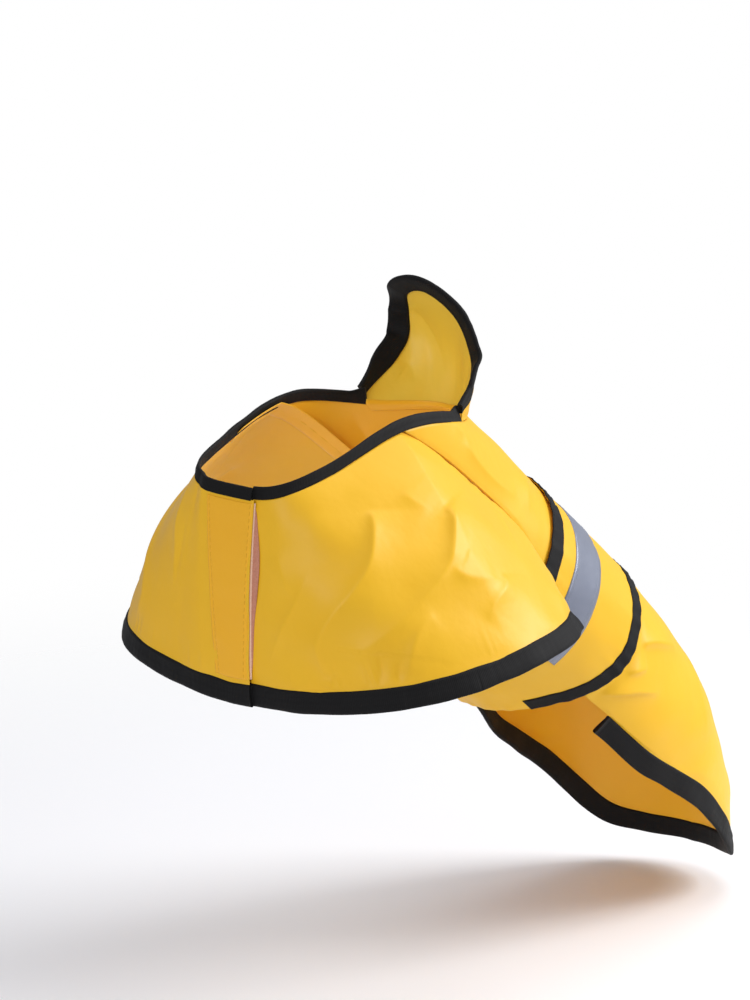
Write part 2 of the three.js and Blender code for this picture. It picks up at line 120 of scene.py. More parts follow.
# %% Body tube
BODY = table(
    "s y z lean half deep",
    (0, 0, 0, 4, 40, 82),
    (30, 23.5, -18.5, 28, 42, 68),
    (60, 45, -39, 44, 46, 57),
    (110, 83, -72, 48, 49, 52),
    (170, 128.5, -111.5, 47, 52, 53),
    (215, 160, -144, 43, 55, 56),
    (250, 181, -170, 34, 55, 56),
    (290, 197, -205, 22, 54, 52),
    (325, 208, -239, 14, 51, 47),
    (375, 216, -288, 5, 46, 42),
)
NECK_LIFT = table("turn rise", (0, 0), (40, 3), (92, 17), (130, 8), (180, 0))
NECK_FADE = 28  # length along the back over which the lift of the neck ring dies out
FRONT_SQUARE, SQUARE_FADE = 0.68, 12


def body(s, turn, lift=0.0):
    """Half width times the sine of the turn across, and half depth times one less its cosine down a
    leaning line; the ring at the neck is lifted at its sides and squared at its front."""
    s, turn = np.broadcast_arrays(np.asarray(s, float), np.asarray(turn, float))
    y, z, lean, half, deep = (smooth(BODY, "s", c, s) for c in ("y", "z", "lean", "half", "deep"))
    lean, angle = np.radians(lean), np.radians(turn)
    rise = smooth(NECK_LIFT, "turn", "rise", np.minimum(abs(turn), 180)) * np.exp(-((s / NECK_FADE) ** 2))
    power = np.where(abs(turn) > 90, 1 - FRONT_SQUARE * np.exp(-((s / SQUARE_FADE) ** 2)), 1.0)
    wide = abs(np.sin(angle)) ** power
    down = deep * (1 - np.cos(angle)) - lift * np.cos(angle)
    x = (half + lift) * wide * np.sign(np.sin(angle))
    return np.stack([x, y - down * np.cos(lean), z - down * np.sin(lean) + rise * np.cos(lean)], -1)


print("body tube", BODY["s"][-1], "mm long")

# %% [markdown]
# The form of the cape
# The cape is a short poncho. Lines run down it from the neck ring, and further back from the seam on
# the back panel, to its hem. Each line is a curve with one middle point, which is pushed out and up so
# that the cloth rounds the shoulder before it falls.

# %% Cape
CAPE = table(
    "u s turn x y z out up",
    (0, 0, 180, 0, -163, -115, 4, 2),
    (0.16, 0, 168, 45, -162, -112, 5, 3),
    (0.32, 0, 148, 84, -150, -106, 6, 6),
    (0.48, 0, 120, 107, -121, -101, 9, 10),
    (0.62, 0, 94, 116, -90, -96.5, 10, 14),
    (0.78, 20, 75.3, 116.5, -61, -91.5, 9, 13),
    (0.9, 38, 70, 112, -44, -88.5, 6, 10),
    (1, 48, 73, 105.5, -32, -86.5, 3, 6),
)
CAPE_FAN = 105  # degrees that the pushed middle points turn through from the front to the back seam
OVERLAP = 0.04  # how far each front runs past the middle, as a share
HEM_START = -0.012  # the left hem tape runs in under the right one


def cape_form(u, v):
    """Quadratic curve from the neck or seam through a pushed middle point to the hem; u is plus on the
    wearer's left and the other side is its mirror image."""
    u, v = np.broadcast_arrays(np.asarray(u, float), np.asarray(v, float))
    r = abs(u)
    top = body(smooth(CAPE, "u", "s", r), smooth(CAPE, "u", "turn", r))
    hem = np.stack([smooth(CAPE, "u", c, r) for c in "xyz"], -1)
    fan = np.radians(r * CAPE_FAN)
    out, up = smooth(CAPE, "u", "out", r), smooth(CAPE, "u", "up", r)
    middle = (top + hem) / 2 + np.stack([np.sin(fan) * out, -np.cos(fan) * out, up], -1)
    w = v[..., None]
    point = top * (1 - w) ** 2 + middle * 2 * w * (1 - w) + hem * w * w
    point[..., 0] *= np.where(u < 0, -1, 1)
    return point


# %% [markdown]
# Folds
# Coated cloth does not drape like wool. It buckles into flat facets that meet in crisp crests, so a
# fold is drawn here as a crest line over the surface, steep on one side and broad on the other, and
# uneven in height from end to end. Seen from outside along the rows of a fold, the steep side lies on
# the right hand. A height below zero is a dent.

# %% Folds
CREST = 0.7  # radius that rounds a crest
CREST_STEPS = 10  # places on a crest line for each row of its fold
CREST_FADE = 0.5  # share of the first and the last step in which a fold rises and sinks
FOLDS = table(
    "fold u v high steep broad",
    # Down the left front from under the neck to the hem
    (1, 0.471, 0.2, 0, 3, 12),
    (1, 0.454, 0.278, 2.8, 3, 14),
    (1, 0.405, 0.409, 4.2, 5, 15),
    (1, 0.336, 0.502, 4.4, 7, 14),
    (1, 0.276, 0.575, 4.2, 8, 13),
    (1, 0.227, 0.672, 3.6, 8, 12),
    (1, 0.219, 0.776, 2.2, 5, 9),
    (1, 0.225, 0.86, 0.5, 4, 8),
    # The same way from the shoulder, behind it
    (2, 0.619, 0.34, 0, 3, 10),
    (2, 0.622, 0.394, 3.3, 2.6, 13),
    (2, 0.582, 0.502, 4, 4.5, 13),
    (2, 0.551, 0.556, 3.4, 6, 11),
    (2, 0.491, 0.61, 3, 7, 9),
    (2, 0.419, 0.664, 2.4, 7, 9),
    (2, 0.351, 0.714, 1.5, 6, 8),
    (2, 0.285, 0.753, 0.2, 5, 7),
    # Short one near the corner of the hem, and the shelf between it and the last
    (3, 0.684, 0.62, 0, 3, 8),
    (3, 0.677, 0.68, 1.5, 3, 9),
    (3, 0.634, 0.73, 1.5, 4, 8),
    (3, 0.585, 0.8, 0.2, 4, 7),
    (4, 0.562, 0.545, 0.2, 3, 7),
    (4, 0.575, 0.6, 1.5, 4, 9),
    (4, 0.615, 0.64, 1.1, 5, 9),
    (4, 0.67, 0.65, 0.2, 5, 8),
    # Ridge and dents where the hem's tape takes up fullness
    (5, 0.502, 0.68, 0.2, 3, 6),
    (5, 0.456, 0.71, 1.1, 3.5, 6),
    (5, 0.419, 0.78, 1.4, 4, 6),
    (5, 0.385, 0.89, 0.3, 4, 6),
    (6, 0.353, 0.74, -0.1, 2, 2.4),
    (6, 0.34, 0.83, -1.3, 2, 2.6),
    (6, 0.33, 0.9, -0.2, 2, 2.4),
    (7, 0.388, 0.79, -0.1, 1.8, 2.2),
    (7, 0.372, 0.86, -1, 1.8, 2.2),
    (7, 0.366, 0.91, -0.2, 1.8, 2.2),
    # Crossing creases by the strip down the front
    (8, 0.142, 0.22, 0.1, 5, 6),
    (8, 0.16, 0.36, 1.3, 6, 6),
    (8, 0.178, 0.5, 0.1, 4, 5),
    (9, 0.279, 0.3, 0, 4, 5),
    (9, 0.19, 0.486, 1.3, 4, 5),
    (9, 0.125, 0.64, 1.2, 4, 5),
    (9, 0.08, 0.8, 0.1, 3, 5),
    # Under the neck on the left shoulder
    (10, 0.545, 0.2, 0, 3, 6),
    (10, 0.556, 0.26, 1, 4, 7),
    (10, 0.59, 0.36, 0.1, 4, 7),
    # Behind the left shoulder, along the seam
    (11, 0.78, 0.06, 0, 3, 6),
    (11, 0.8, 0.3, 0.8, 4, 8),
    (11, 0.78, 0.56, 0.1, 4, 8),
    # Right front, from the neck beside the strip
    (12, -0.275, 0.02, 0.1, 3, 7),
    (12, -0.235, 0.2, 1.8, 4, 8),
    (12, -0.19, 0.38, 1.4, 4, 7),
    (12, -0.16, 0.6, 0.1, 4, 7),
    (13, -0.165, 0.12, 0.1, 3, 4),
    (13, -0.168, 0.35, -0.9, 3, 4),
    (13, -0.16, 0.62, -0.1, 3, 4),
    # Right side, which the front view hides
    (14, -0.3, 0.86, 0.2, 5, 8),
    (14, -0.29, 0.68, 2.4, 7, 11),
    (14, -0.37, 0.5, 2.9, 6, 13),
    (14, -0.47, 0.36, 2.2, 4, 13),
    (14, -0.53, 0.22, 0, 3, 11),
    (15, -0.44, 0.78, 0.2, 5, 8),
    (15, -0.55, 0.64, 2, 5.5, 9),
    (15, -0.64, 0.5, 2.5, 4, 11),
    (15, -0.68, 0.34, 0, 3, 10),
    (16, -0.72, 0.86, 0.2, 4, 7),
    (16, -0.76, 0.7, 1.4, 4, 8),
    (16, -0.75, 0.55, 0.1, 3, 8),
    (17, -0.36, 0.76, -0.1, 2, 2.4),
    (17, -0.38, 0.9, -1, 2, 2.6),
    (18, -0.52, 0.8, -0.1, 2, 2.4),
    (18, -0.5, 0.9, -0.9, 2, 2.6),
)


def fold_heights(rows, surface, points, normal):
    """Sum of the folds at each point: high times e to minus the rounded distance from the crest line
    over the steep width on one side of the line and the broad width on the other. The height, and both
    widths, are those of the nearest place on the line, and the height eases to nothing at its ends."""
    total = np.zeros(points.shape[:-1])
    for number in np.unique(rows["fold"]):
        own = {column: rows[column][rows["fold"] == number] for column in rows}
        own["row"] = np.arange(len(own["u"]), dtype=float)
        last = own["row"][-1]
        at = np.linspace(0, last, CREST_STEPS * len(own["u"]))
        line = surface(smooth(own, "row", "u", at), smooth(own, "row", "v", at))
        along = np.gradient(line, axis=0)
        step = np.linalg.norm(along, axis=-1)
        along = along / step[:, None]
        apart = points[..., None, :] - line
        near = (apart**2).sum(-1).argmin(-1)
        offset = np.take_along_axis(apart, near[..., None, None], -2)[..., 0, :]
        run = (offset * along[near]).sum(-1)
        place = np.interp(near + np.clip(run / step[near], -0.5, 0.5), np.arange(len(at)), at)
        high, steep, broad = (smooth(own, "row", column, place) for column in ("high", "steep", "broad"))
        high = high * ease(0, CREST_FADE, place) * (1 - ease(last - CREST_FADE, last, place))
        across = (offset * np.cross(normal, along[near])).sum(-1)
        past = np.maximum(abs(run) - step[near] / 2, 0)
        aside = np.maximum((offset**2).sum(-1) - run**2, 0)
        away = np.sqrt(aside + past**2 + CREST**2) - CREST
        total += high * np.exp(-away / np.where(across < 0, steep, broad))
    return total


def waves(x, y, size, seed, count=7):
    """Sum of sines of random direction and phase, whose lengths lie around size."""
    draw = np.random.default_rng(seed)
    total = 0
    for _ in range(count):
        angle, phase = draw.uniform(0, 2 * np.pi), draw.uniform(0, 2 * np.pi)
        length = size * draw.uniform(0.7, 1.6)
        total = total + np.sin(2 * np.pi * (x * np.cos(angle) + y * np.sin(angle)) / length + phase)
    return total / np.sqrt(count)


print("folds on the cape:", int(FOLDS["fold"].max()))

# %% [markdown]
# From a grid to a mesh
# A sheet is a grid of points, and a tape is a grid whose last column joins its first. A UV map in
# metres along the two directions of the grid lets the weave keep its size and follow the cloth.

# %% Mesh helpers
def lengths(points, axis):
    """Distance run along one direction of the grid, from its middle."""
    step = np.linalg.norm(np.diff(points, axis=axis), axis=-1)
    run = np.concatenate([np.zeros_like(np.take(step, [0], axis)), np.cumsum(step, axis)], axis)
    return run - np.take(run, [run.shape[axis] // 2], axis)


def make_mesh(name, points, faces, uv, material):
    """Smooth mesh object at the origin from millimetre points, a list of faces and a UV for each point."""
    mesh = bpy.data.meshes.new(name)
    mesh.from_pydata((points * MM).tolist(), [], faces)
    layer = mesh.uv_layers.new(name="cut")
    corner = np.empty(len(mesh.loops), int)
    mesh.loops.foreach_get("vertex_index", corner)
    layer.data.foreach_set("uv", (uv[corner] * MM).astype(np.float32).ravel())
    mesh.polygons.foreach_set("use_smooth", [True] * len(mesh.polygons))
    mesh.materials.append(material)
    obj = bpy.data.objects.new(name, mesh)
    bpy.context.scene.collection.objects.link(obj)
    return obj


def grid_faces(rows, columns, wrap=False):
    """Quads of a grid, with the last column joined to the first where it wraps."""
    i = np.arange(rows - 1)[:, None] * columns
    j = np.arange(columns if wrap else columns - 1)[None, :]
    k = (j + 1) % columns
    return np.stack([i + j, i + columns + j, i + columns + k, i + k], -1).reshape(-1, 4)


def cloth_sheet(name, points, sign, material, thick=CLOTH, inner=None):
    """Sheet of cloth whose outer face is the grid. Solidify gives it its wall, whose inner face may have
    a material of its own."""
    uv = np.stack([lengths(points, 0), lengths(points, 1)], -1)
    faces = grid_faces(*points.shape[:2])
    if sign < 0:
        faces = faces[:, ::-1]
    obj = make_mesh(name, points.reshape(-1, 3), faces.tolist(), uv.reshape(-1, 2), material)
    wall = obj.modifiers.new("wall", "SOLIDIFY")
    wall.thickness = thick * MM
    wall.offset = -1
    if inner:
        obj.data.materials.append(inner)
        wall.material_offset = 1
    return obj


# %% [markdown]
# Node helpers
# A material here is a small tree of nodes. One function adds a node with its settings and links, and
# one turns an sRGB hex colour into the linear colour that the shader works in.

# %% Material helpers
def linear(code):
    """sRGB hex to linear RGBA."""
    rgb = np.array([int(code[i : i + 2], 16) for i in (1, 3, 5)]) / 255
    return (*np.where(rgb <= 0.04045, rgb / 12.92, ((rgb + 0.055) / 1.055) ** 2.4).tolist(), 1.0)


def node(tree, kind, inputs=None, **settings):
    """Add a node, set its properties, and set or link each input; a value that is a socket is linked."""
    new = tree.nodes.new(kind)
    for key, value in settings.items():
        setattr(new, key, value)
    for key, value in (inputs or {}).items():
        if isinstance(value, bpy.types.NodeSocket):
            tree.links.new(value, new.inputs[key])
        else:
            new.inputs[key].default_value = value
    return new


def blank(name):
    """New material with only its output, and the tree to build it in."""
    material = bpy.data.materials.new(name)
    material.use_nodes = True
    tree = material.node_tree
    tree.nodes.clear()
    return material, tree, node(tree, "ShaderNodeOutputMaterial")


def colour_mix(tree, share, a, b):
    """Blend of two colours by a share from 0 to 1."""
    new = node(tree, "ShaderNodeMix", {0: share}, data_type="RGBA")
    for place, value in ((6, a), (7, b)):
        if isinstance(value, bpy.types.NodeSocket):
            tree.links.new(value, new.inputs[place])
        else:
            new.inputs[place].default_value = value
    return new.outputs[2]


def math(tree, operation, a, b=0.0):
    """One arithmetic step."""
    return node(tree, "ShaderNodeMath", {0: a, 1: b}, operation=operation).outputs[0]


def noise(tree, size, detail):
    """Noise whose cells have a size in millimetres, fixed to the object."""
    where = node(tree, "ShaderNodeTexCoord").outputs["Object"]
    cells = {"Vector": where, "Scale": 1 / (size * MM), "Detail": detail}
    return node(tree, "ShaderNodeTexNoise", cells).outputs[0]


def bump(tree, height, strength, deep, under=None):
    """Bump with a depth in millimetres, laid over another one where that is given."""
    inputs = {"Height": height, "Strength": strength, "Distance": deep * MM}
    if under:
        inputs["Normal"] = under
    return node(tree, "ShaderNodeBump", inputs).outputs[0]


def principled(name, inputs, build):
    """Material with one Principled shader: build gives it the inputs that need nodes of their own."""
    material, tree, output = blank(name)
    shader = node(tree, "ShaderNodeBsdfPrincipled", {**inputs, **build(tree)})
    tree.links.new(shader.outputs[0], output.inputs["Surface"])
    return material


# %% [markdown]
# Coated polyester
# The shell is a close plain weave with a waterproof coat on it. The weave is too fine to see, but it
# breaks the shine, so the sheet has a satin gloss that spreads along each crease. It is drawn at a
# thread spacing of 0.8 mm, coarser than the real one, so that it shows a little from close by. Slow
# unevenness in the colour and small crinkles in the surface keep it from looking like plastic, and a
# little light comes through. The inner face is the coat alone. Doubled cloth looks deeper. The inside
# of the hood has painted light: a paler copy of the same cloth, which brightens its shaded hollow.

# %% Coated polyester
THREAD_PITCH = 0.8
LIGHT_THROUGH = 0.07  # share of the light that each face lets through


def weave_height(tree, pitch, strength_u=0.5):
    """Plain weave as the sum of two sine ribs, one along each direction of the cut."""
    uv = node(tree, "ShaderNodeUVMap", uv_map="cut").outputs[0]
    parts = node(tree, "ShaderNodeSeparateXYZ", {0: uv})
    turn = 2 * np.pi / (pitch * MM)
    ribs = []
    for number, strength in ((0, strength_u), (1, 1 - strength_u)):
        rib = math(tree, "SINE", math(tree, "MULTIPLY", parts.outputs[number], turn))
        ribs.append(math(tree, "MULTIPLY", rib, strength))
    return math(tree, "ADD", *ribs)


def coated_polyester(name, light, dark, rough):
    """Yellow cloth: two close tones, weave and crinkle in the bump, satin roughness, and a share of light
    that comes through in a warm yellow."""
    material, tree, output = blank(name)
    crinkle = noise(tree, 11, 3.0)
    tone = colour_mix(tree, noise(tree, 38, 2.0), linear(light), linear(dark))
    tone = colour_mix(tree, math(tree, "MULTIPLY", noise(tree, 1.6, 1.0), 0.12), tone, linear(dark))
    threads = bump(tree, weave_height(tree, THREAD_PITCH), 0.12, 0.04)
    uneven = bump(tree, crinkle, 0.35, 0.9, threads)
    shader = node(
        tree,
        "ShaderNodeBsdfPrincipled",
        {
            "Base Color": tone,
            "Roughness": math(tree, "ADD", math(tree, "MULTIPLY", crinkle, 0.1), rough - 0.05),
            "Specular IOR Level": 0.4,
            "Sheen Weight": 0.03,
            "Normal": uneven,
        },
    )
    through = node(tree, "ShaderNodeBsdfTranslucent", {"Color": linear("#FFBE10"), "Normal": uneven})
    mixed = {0: LIGHT_THROUGH, 1: shader.outputs[0], 2: through.outputs[0]}
    both = node(tree, "ShaderNodeMixShader", mixed)
    tree.links.new(both.outputs[0], output.inputs["Surface"])
    return material


SHELL = coated_polyester("coated_polyester_woven_yellow", "#F7C324", "#F3BA1C", 0.47)
FACING = coated_polyester("coated_polyester_doubled_facing", "#FDBE28", "#F9B520", 0.46)
INNER = coated_polyester("polyurethane_coating_inner_face", "#FFC42C", "#F8BA22", 0.42)
# Painted light: the hood's inner face is the same cloth in a paler tone, which brightens the shaded hollow of
# the hood.
HOOD_INNER_PAINTED_LIGHT = coated_polyester("polyurethane_coating_hood_face_painted_light", "#FFDE50", "#FDD340", 0.45)
print("shell cloth:", SHELL.name)

# %% [markdown]
# Binding tape, reflective tape, fastening tape and thread
# The black edges are a matt woven tape folded over the raw edge. Its weft makes fine ribs across it.
# The reflective strip is a cloth with tiny glass beads, which look pale blue grey in soft light and
# glint a little. The fastening strip is salmon loop pile, rough and with no shine. A pale peach pile
# beside its edge is painted highlight, standing in for the lit side of the edge. The belt's hook tape
# is made the same way in black. Thread is matt like the binding, in the colour of what it is sewn through.

# %% Tapes
RIB_PITCH = 0.9


def woven_tape(name, light, dark):
    """Matt ribbed tape: ribs across it, a faint second rib along it and a slightly lighter tone on the high
    places.
    """

    def ribbed(tree):
        dust = noise(tree, 2.4, 4.0)
        height = weave_height(tree, RIB_PITCH, 0.75)
        share = math(tree, "MULTIPLY", math(tree, "ADD", height, dust), 0.4)
        fuzz = bump(tree, dust, 0.3, 0.25, bump(tree, height, 0.35, 0.1))
        return {"Base Color": colour_mix(tree, share, linear(dark), linear(light)), "Normal": fuzz}

    return principled(name, {"Roughness": 0.7, "Specular IOR Level": 0.22, "Sheen Weight": 0.02}, ribbed)


def beaded_tape(name, light, dark):
    """Grey tape of glass beads: a speckle of 0.6 mm cells over a smooth low gloss."""

    def beaded(tree):
        where = node(tree, "ShaderNodeTexCoord").outputs["Object"]
        bead = node(tree, "ShaderNodeTexVoronoi", {"Vector": where, "Scale": 1 / (0.6 * MM)}).outputs[0]
        tone = colour_mix(tree, noise(tree, 22, 2.0), linear(light), linear(dark))
        tone = colour_mix(tree, math(tree, "MULTIPLY", bead, 0.35), tone, linear(dark))
        return {"Base Color": tone, "Normal": bump(tree, bead, 0.2, 0.05)}

    return principled(name, {"Roughness": 0.42, "Metallic": 0.25, "Coat Weight": 0.15}, beaded)


def loop_pile(name, light, dark):
    """Rough pile of loops or hooks: a soft mottle and a deep fine bump, with sheen."""

    def looped(tree):
        pile = noise(tree, 0.9, 4.0)
        tone = colour_mix(tree, pile, linear(light), linear(dark))
        return {"Base Color": tone, "Normal": bump(tree, pile, 0.7, 0.5)}

    return principled(name, {"Roughness": 0.9, "Sheen Weight": 0.4}, looped)


BINDING = woven_tape("polyester_binding_woven_black", "#131213", "#070607")
REFLECTIVE = beaded_tape("reflective_tape_glass_beaded", "#898E9D", "#787E8F")
LOOP = loop_pile("nylon_loop_tape_brushed_salmon", "#D99A80", "#B06A52")
# Painted highlight: pale peach pile that stands in for the lit side of the front strip's free edge.
PEACH_EDGE_PAINTED_HIGHLIGHT = loop_pile("peach_edge_painted_highlight", "#F8D6BE", "#EFC4A6")
HOOK = loop_pile("nylon_hook_tape_moulded_black", "#2C2A2D", "#161516")
YELLOW_THREAD = woven_tape("polyester_thread_spun_yellow", "#F2BC34", "#E2A626")
BLACK_THREAD = woven_tape("polyester_thread_spun_black", "#2A282B", "#151415")
GREY_THREAD = woven_tape("polyester_thread_spun_grey", "#A9AEBB", "#868B99")
print("tapes:", BINDING.name, REFLECTIVE.name, LOOP.name)

# %% [markdown]
# Folded tape along an edge
# A binding is a strip folded in half over the raw edge and stitched through. Its section is a flat oval
# with a shallow groove where the stitches pull it in. Carrying that section along the edge as a tube
# gives a true closed form. The tube is a little uneven, as a hand-fed binding is.

# %% Tape and thread makers
AROUND = 26  # points round the section of a tape
GROOVE = 0.42  # share of the tape's thickness that the stitches pull in


def folded_tape(name, edge, normal, off, wide, thick=TAPE_THICK, seed=1):
    """Flat oval section, the cosine raised to 0.35 across and the sine through, carried along an edge,
    with a groove a quarter of the way from its inner side and slow waves in its thickness. Gives the
    tape and the path of the groove on each face."""
    count = len(edge)
    wide = np.broadcast_to(np.asarray(wide, float), (count,))
    run = run_along(edge)
    angle = (np.arange(AROUND) + 0.5) / AROUND * 2 * np.pi
    across = np.sign(np.cos(angle)) * abs(np.cos(angle)) ** 0.35
    through = np.sign(np.sin(angle)) * abs(np.sin(angle)) ** 0.8
    through = through * (1 - GROOVE * np.exp(-(((across + 0.5) / 0.12) ** 2)))
    uneven = 1 + 0.1 * waves(run[:, None], across[None] * TAPE, 17, seed)
    uneven = uneven + 0.02 * waves(run[:, None], 0, 5, seed + 1)
    slant = run[:, None] + across[None] * TAPE * 0.4
    in_places = np.clip(waves(run[:, None], 0, 60, seed + 5), 0, 1)
    uneven = uneven + 0.07 * waves(slant, 0, 4.2, seed + 4) * in_places
    a = across[None] * wide[:, None] / 2 * (1 + 0.02 * waves(run, 0, 23, seed + 2))[:, None]
    b = through[None] * thick / 2 * np.clip(uneven, 0.75, 1.12)
    centre = edge + off * (GAP + wide / 2)[:, None] + normal * (0.12 * waves(run, 0, 31, seed + 3))[:, None]
    points = centre[:, None] + off[:, None] * a[..., None] + normal[:, None] * b[..., None]
    round_ = np.broadcast_to(np.linspace(0, 2 * (TAPE + thick), AROUND), (count, AROUND))
    uv = np.stack([np.broadcast_to(run[:, None], (count, AROUND)), round_], -1)
    faces = grid_faces(count, AROUND, wrap=True)
    groove = centre - off * (wide / 4)[:, None]
    deep = thick / 2 * (1 - GROOVE)
    paths = [(groove + normal * deep * face, normal * face) for face in (1, -1)]
    return capped(name, points, faces, uv, BINDING), paths


def capped(name, points, faces, uv, material):
    """Tube mesh closed at both ends by a fan. The sign of its volume tells which way round its faces
    point outwards."""
    count, size = points.shape[:2]
    flat = points.reshape(-1, 3)
    ends = np.stack([points[0].mean(0), points[-1].mean(0)])
    k = np.arange(size)
    first = np.stack([np.full(size, count * size), (k + 1) % size, k], -1)
    base = (count - 1) * size
    last = np.stack([np.full(size, count * size + 1), base + k, base + (k + 1) % size], -1)
    triangles = np.concatenate([faces[:, [0, 1, 2]], faces[:, [0, 2, 3]], first, last])
    every = np.concatenate([flat, ends])
    a, b, c = (every[triangles[:, n]] for n in range(3))
    fans = np.concatenate([first, last])
    if (a * np.cross(b, c)).sum() <= 0:
        faces, fans = faces[:, ::-1], fans[:, ::-1]
    uv = np.concatenate([uv.reshape(-1, 2), uv[0, :1], uv[-1, :1]])
    return make_mesh(name, every, faces.tolist() + fans.tolist(), uv, material)


def resample(path, normal, step):
    """Points at even distances along a path, with the normal and the way ahead at each."""
    run = run_along(path)
    count = max(int(run[-1] / step), 2)
    at = (np.arange(count) + 0.5) * run[-1] / count
    columns = [path, normal, np.gradient(path, axis=0)]
    points, facing, ahead = (np.stack([np.interp(at, run, c) for c in column.T], -1) for column in columns)
    return points, unit(facing), unit(ahead)


STITCH_SIDES = 6
STITCH_RINGS = np.array([(-0.5, 0.25), (-0.3, 0.9), (0.0, 1.0), (0.3, 0.9), (0.5, 0.25)])


def stitch_row(name, path, normal, material, sink=0.05):
    """Row of short threads lying on a path: each is a six-sided grain whose rings swell at its middle."""
    points, facing, ahead = resample(path, normal, STITCH + STITCH_GAP)
    side = np.cross(facing, ahead)
    angle = np.arange(STITCH_SIDES) / STITCH_SIDES * 2 * np.pi
    along = STITCH_RINGS[:, 0][:, None] * STITCH
    ring = STITCH_RINGS[:, 1][:, None] * THREAD
    offsets = (
        ahead[:, None, None] * along[None, :, :, None]
        + side[:, None, None] * (ring * np.cos(angle))[None, ..., None]
        + facing[:, None, None] * (ring * np.sin(angle) - sink)[None, ..., None]
    )
    grains = points[:, None, None] + offsets
    count, rings = len(points), len(STITCH_RINGS)
    own = grid_faces(rings, STITCH_SIDES, wrap=True)
    size = rings * STITCH_SIDES
    faces = (own[None] + (np.arange(count) * size)[:, None, None]).reshape(-1, 4)
    k = np.arange(STITCH_SIDES)
    lids = np.stack([k[::-1], k + (rings - 1) * STITCH_SIDES])
    lids = (lids[None] + (np.arange(count) * size)[:, None, None]).reshape(-1, STITCH_SIDES)
    flat = grains.reshape(-1, 3)
    a, b, c = (flat[own[:, n]] for n in range(3))
    centre = flat[:size].mean(0)
    if ((a - centre) * np.cross(b - centre, c - centre)).sum() < 0:
        faces, lids = faces[:, ::-1], lids[:, ::-1]
    return make_mesh(name, flat, faces.tolist() + lids.tolist(), np.zeros((len(flat), 2)), material)


def finish_piece(obj, slot=None, *nodes):
    """Every piece rides on the one body and may stand for nodes, whose frame parts it hides; the slot is not
    used.
    """
    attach(obj, "root")
    if nodes:
        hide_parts(*nodes)
    return obj


def bind(node_name, edge, wide, seed, thick=TAPE_THICK):
    """Folded tape along an edge with its row of stitches on each face."""
    tape, paths = folded_tape(node_name + "_tape", *edge, wide, thick, seed)
    print(node_name, round(float(run_along(edge[0])[-1])), "mm of folded tape")
    for word, path in zip(("outer", "inner"), paths):
        finish_piece(stitch_row(f"{node_name}_stitches_{word}", *path, BLACK_THREAD))
    return finish_piece(tape, "black_tape", node_name)


def area_of(points):
    """Area of a grid in square metres, from the cross products of its cells."""
    cross = np.cross(np.diff(points, axis=0)[:, :-1], np.diff(points, axis=1)[:-1])
    return float(np.linalg.norm(cross, axis=-1).sum()) * MM * MM


print("a stitch has", len(STITCH_RINGS) * STITCH_SIDES, "points")

# %% [markdown]
# Surfaces with a normal
# The panels are cut from three surfaces: the body, the cape and the hood. A normal is measured from the
# differences over a small step, and cloth is laid on the surface along it. An edge gives the place, the
# normal and the way off the cloth, which is what a binding needs.

# %% Surfaces
def normal_at(surface, u, v, step=1e-3):
    """Unit normal from the differences over a step each way."""
    across = surface(u + step, v) - surface(u - step, v)
    along = surface(u, v + step) - surface(u, v - step)
    return unit(np.cross(across, along))


def cape(u, v):
    """Form of the cape with its folds, which die out at the neck and above the hem tape. The form's own
    normal points inwards, so a height is laid on against it."""
    u, v = np.broadcast_arrays(np.asarray(u, float), np.asarray(v, float))
    form, outward = cape_form(u, v), -normal_at(cape_form, u, v)
    height = fold_heights(FOLDS, cape_form, form, outward) * ease(0, 0.1, v) * (1 - ease(0.86, 0.93, v))
    return form + outward * height[..., None]


BACK_EDGE = table(
    "s turn", (0, 92), (14, 78), (28, 71), (40, 70), (50, 73), (70, 92), (100, 112), (130, 121), (150, 123)
)
TAIL_START, TAIL_SHARE = 150, 0.45  # length along the back, and share of a line, where the tail begins
TAIL_EDGE = table(
    "share s turn",
    (0, 361, 0),
    (0.22, 358, 34),
    (0.4, 348, 58),
    (0.55, 326, 75),
    (0.68, 298, 88),
    (0.8, 262, 101),
    (0.9, 218, 111),
    (1, 164, 121),
)


def back_place(u, v):
    """Length and turn of a place on the back panel: to the sides by the table of its edge, and past the
    start of the tail on straight lines to the tail edge."""
    u, v = np.broadcast_arrays(np.asarray(u, float), np.asarray(v, float))
    share, side = abs(u), np.where(u < 0, -1, 1)
    s = v / TAIL_SHARE * TAIL_START
    upper = side * share * smooth(BACK_EDGE, "s", "turn", s)
    fall = (v - TAIL_SHARE) / (1 - TAIL_SHARE)
    low_s = mix(TAIL_START, smooth(TAIL_EDGE, "share", "s", share), fall)
    edge = smooth(BACK_EDGE, "s", "turn", TAIL_START)
    low_turn = side * mix(share * edge, smooth(TAIL_EDGE, "share", "turn", share), fall)
    return np.where(v <= TAIL_SHARE, s, low_s), np.where(v <= TAIL_SHARE, upper, low_turn)


def back(u, v):
    """Back panel on the body tube."""
    return body(*back_place(u, v))


BELT = table(
    "turn front rear",
    (0, 66, 157),
    (60, 67, 156),
    (92, 68, 156),
    (118, 72, 148),
    (150, 84, 132),
    (196, 88, 126),
)
BELT_END = 193  # turn at which each end stops, past the middle of the belly
BELT_END_LIFT = 2.6  # the left end over the right one


def belt(turn, s):
    """Place on the belt, one end of which lies over the other under the belly."""
    return body(s, turn, BELT_END_LIFT * ease(128, 160, turn))


def belt_edge(column, turn):
    """Front or rear edge of the belt at a turn."""
    return smooth(BELT, "turn", column, abs(turn))


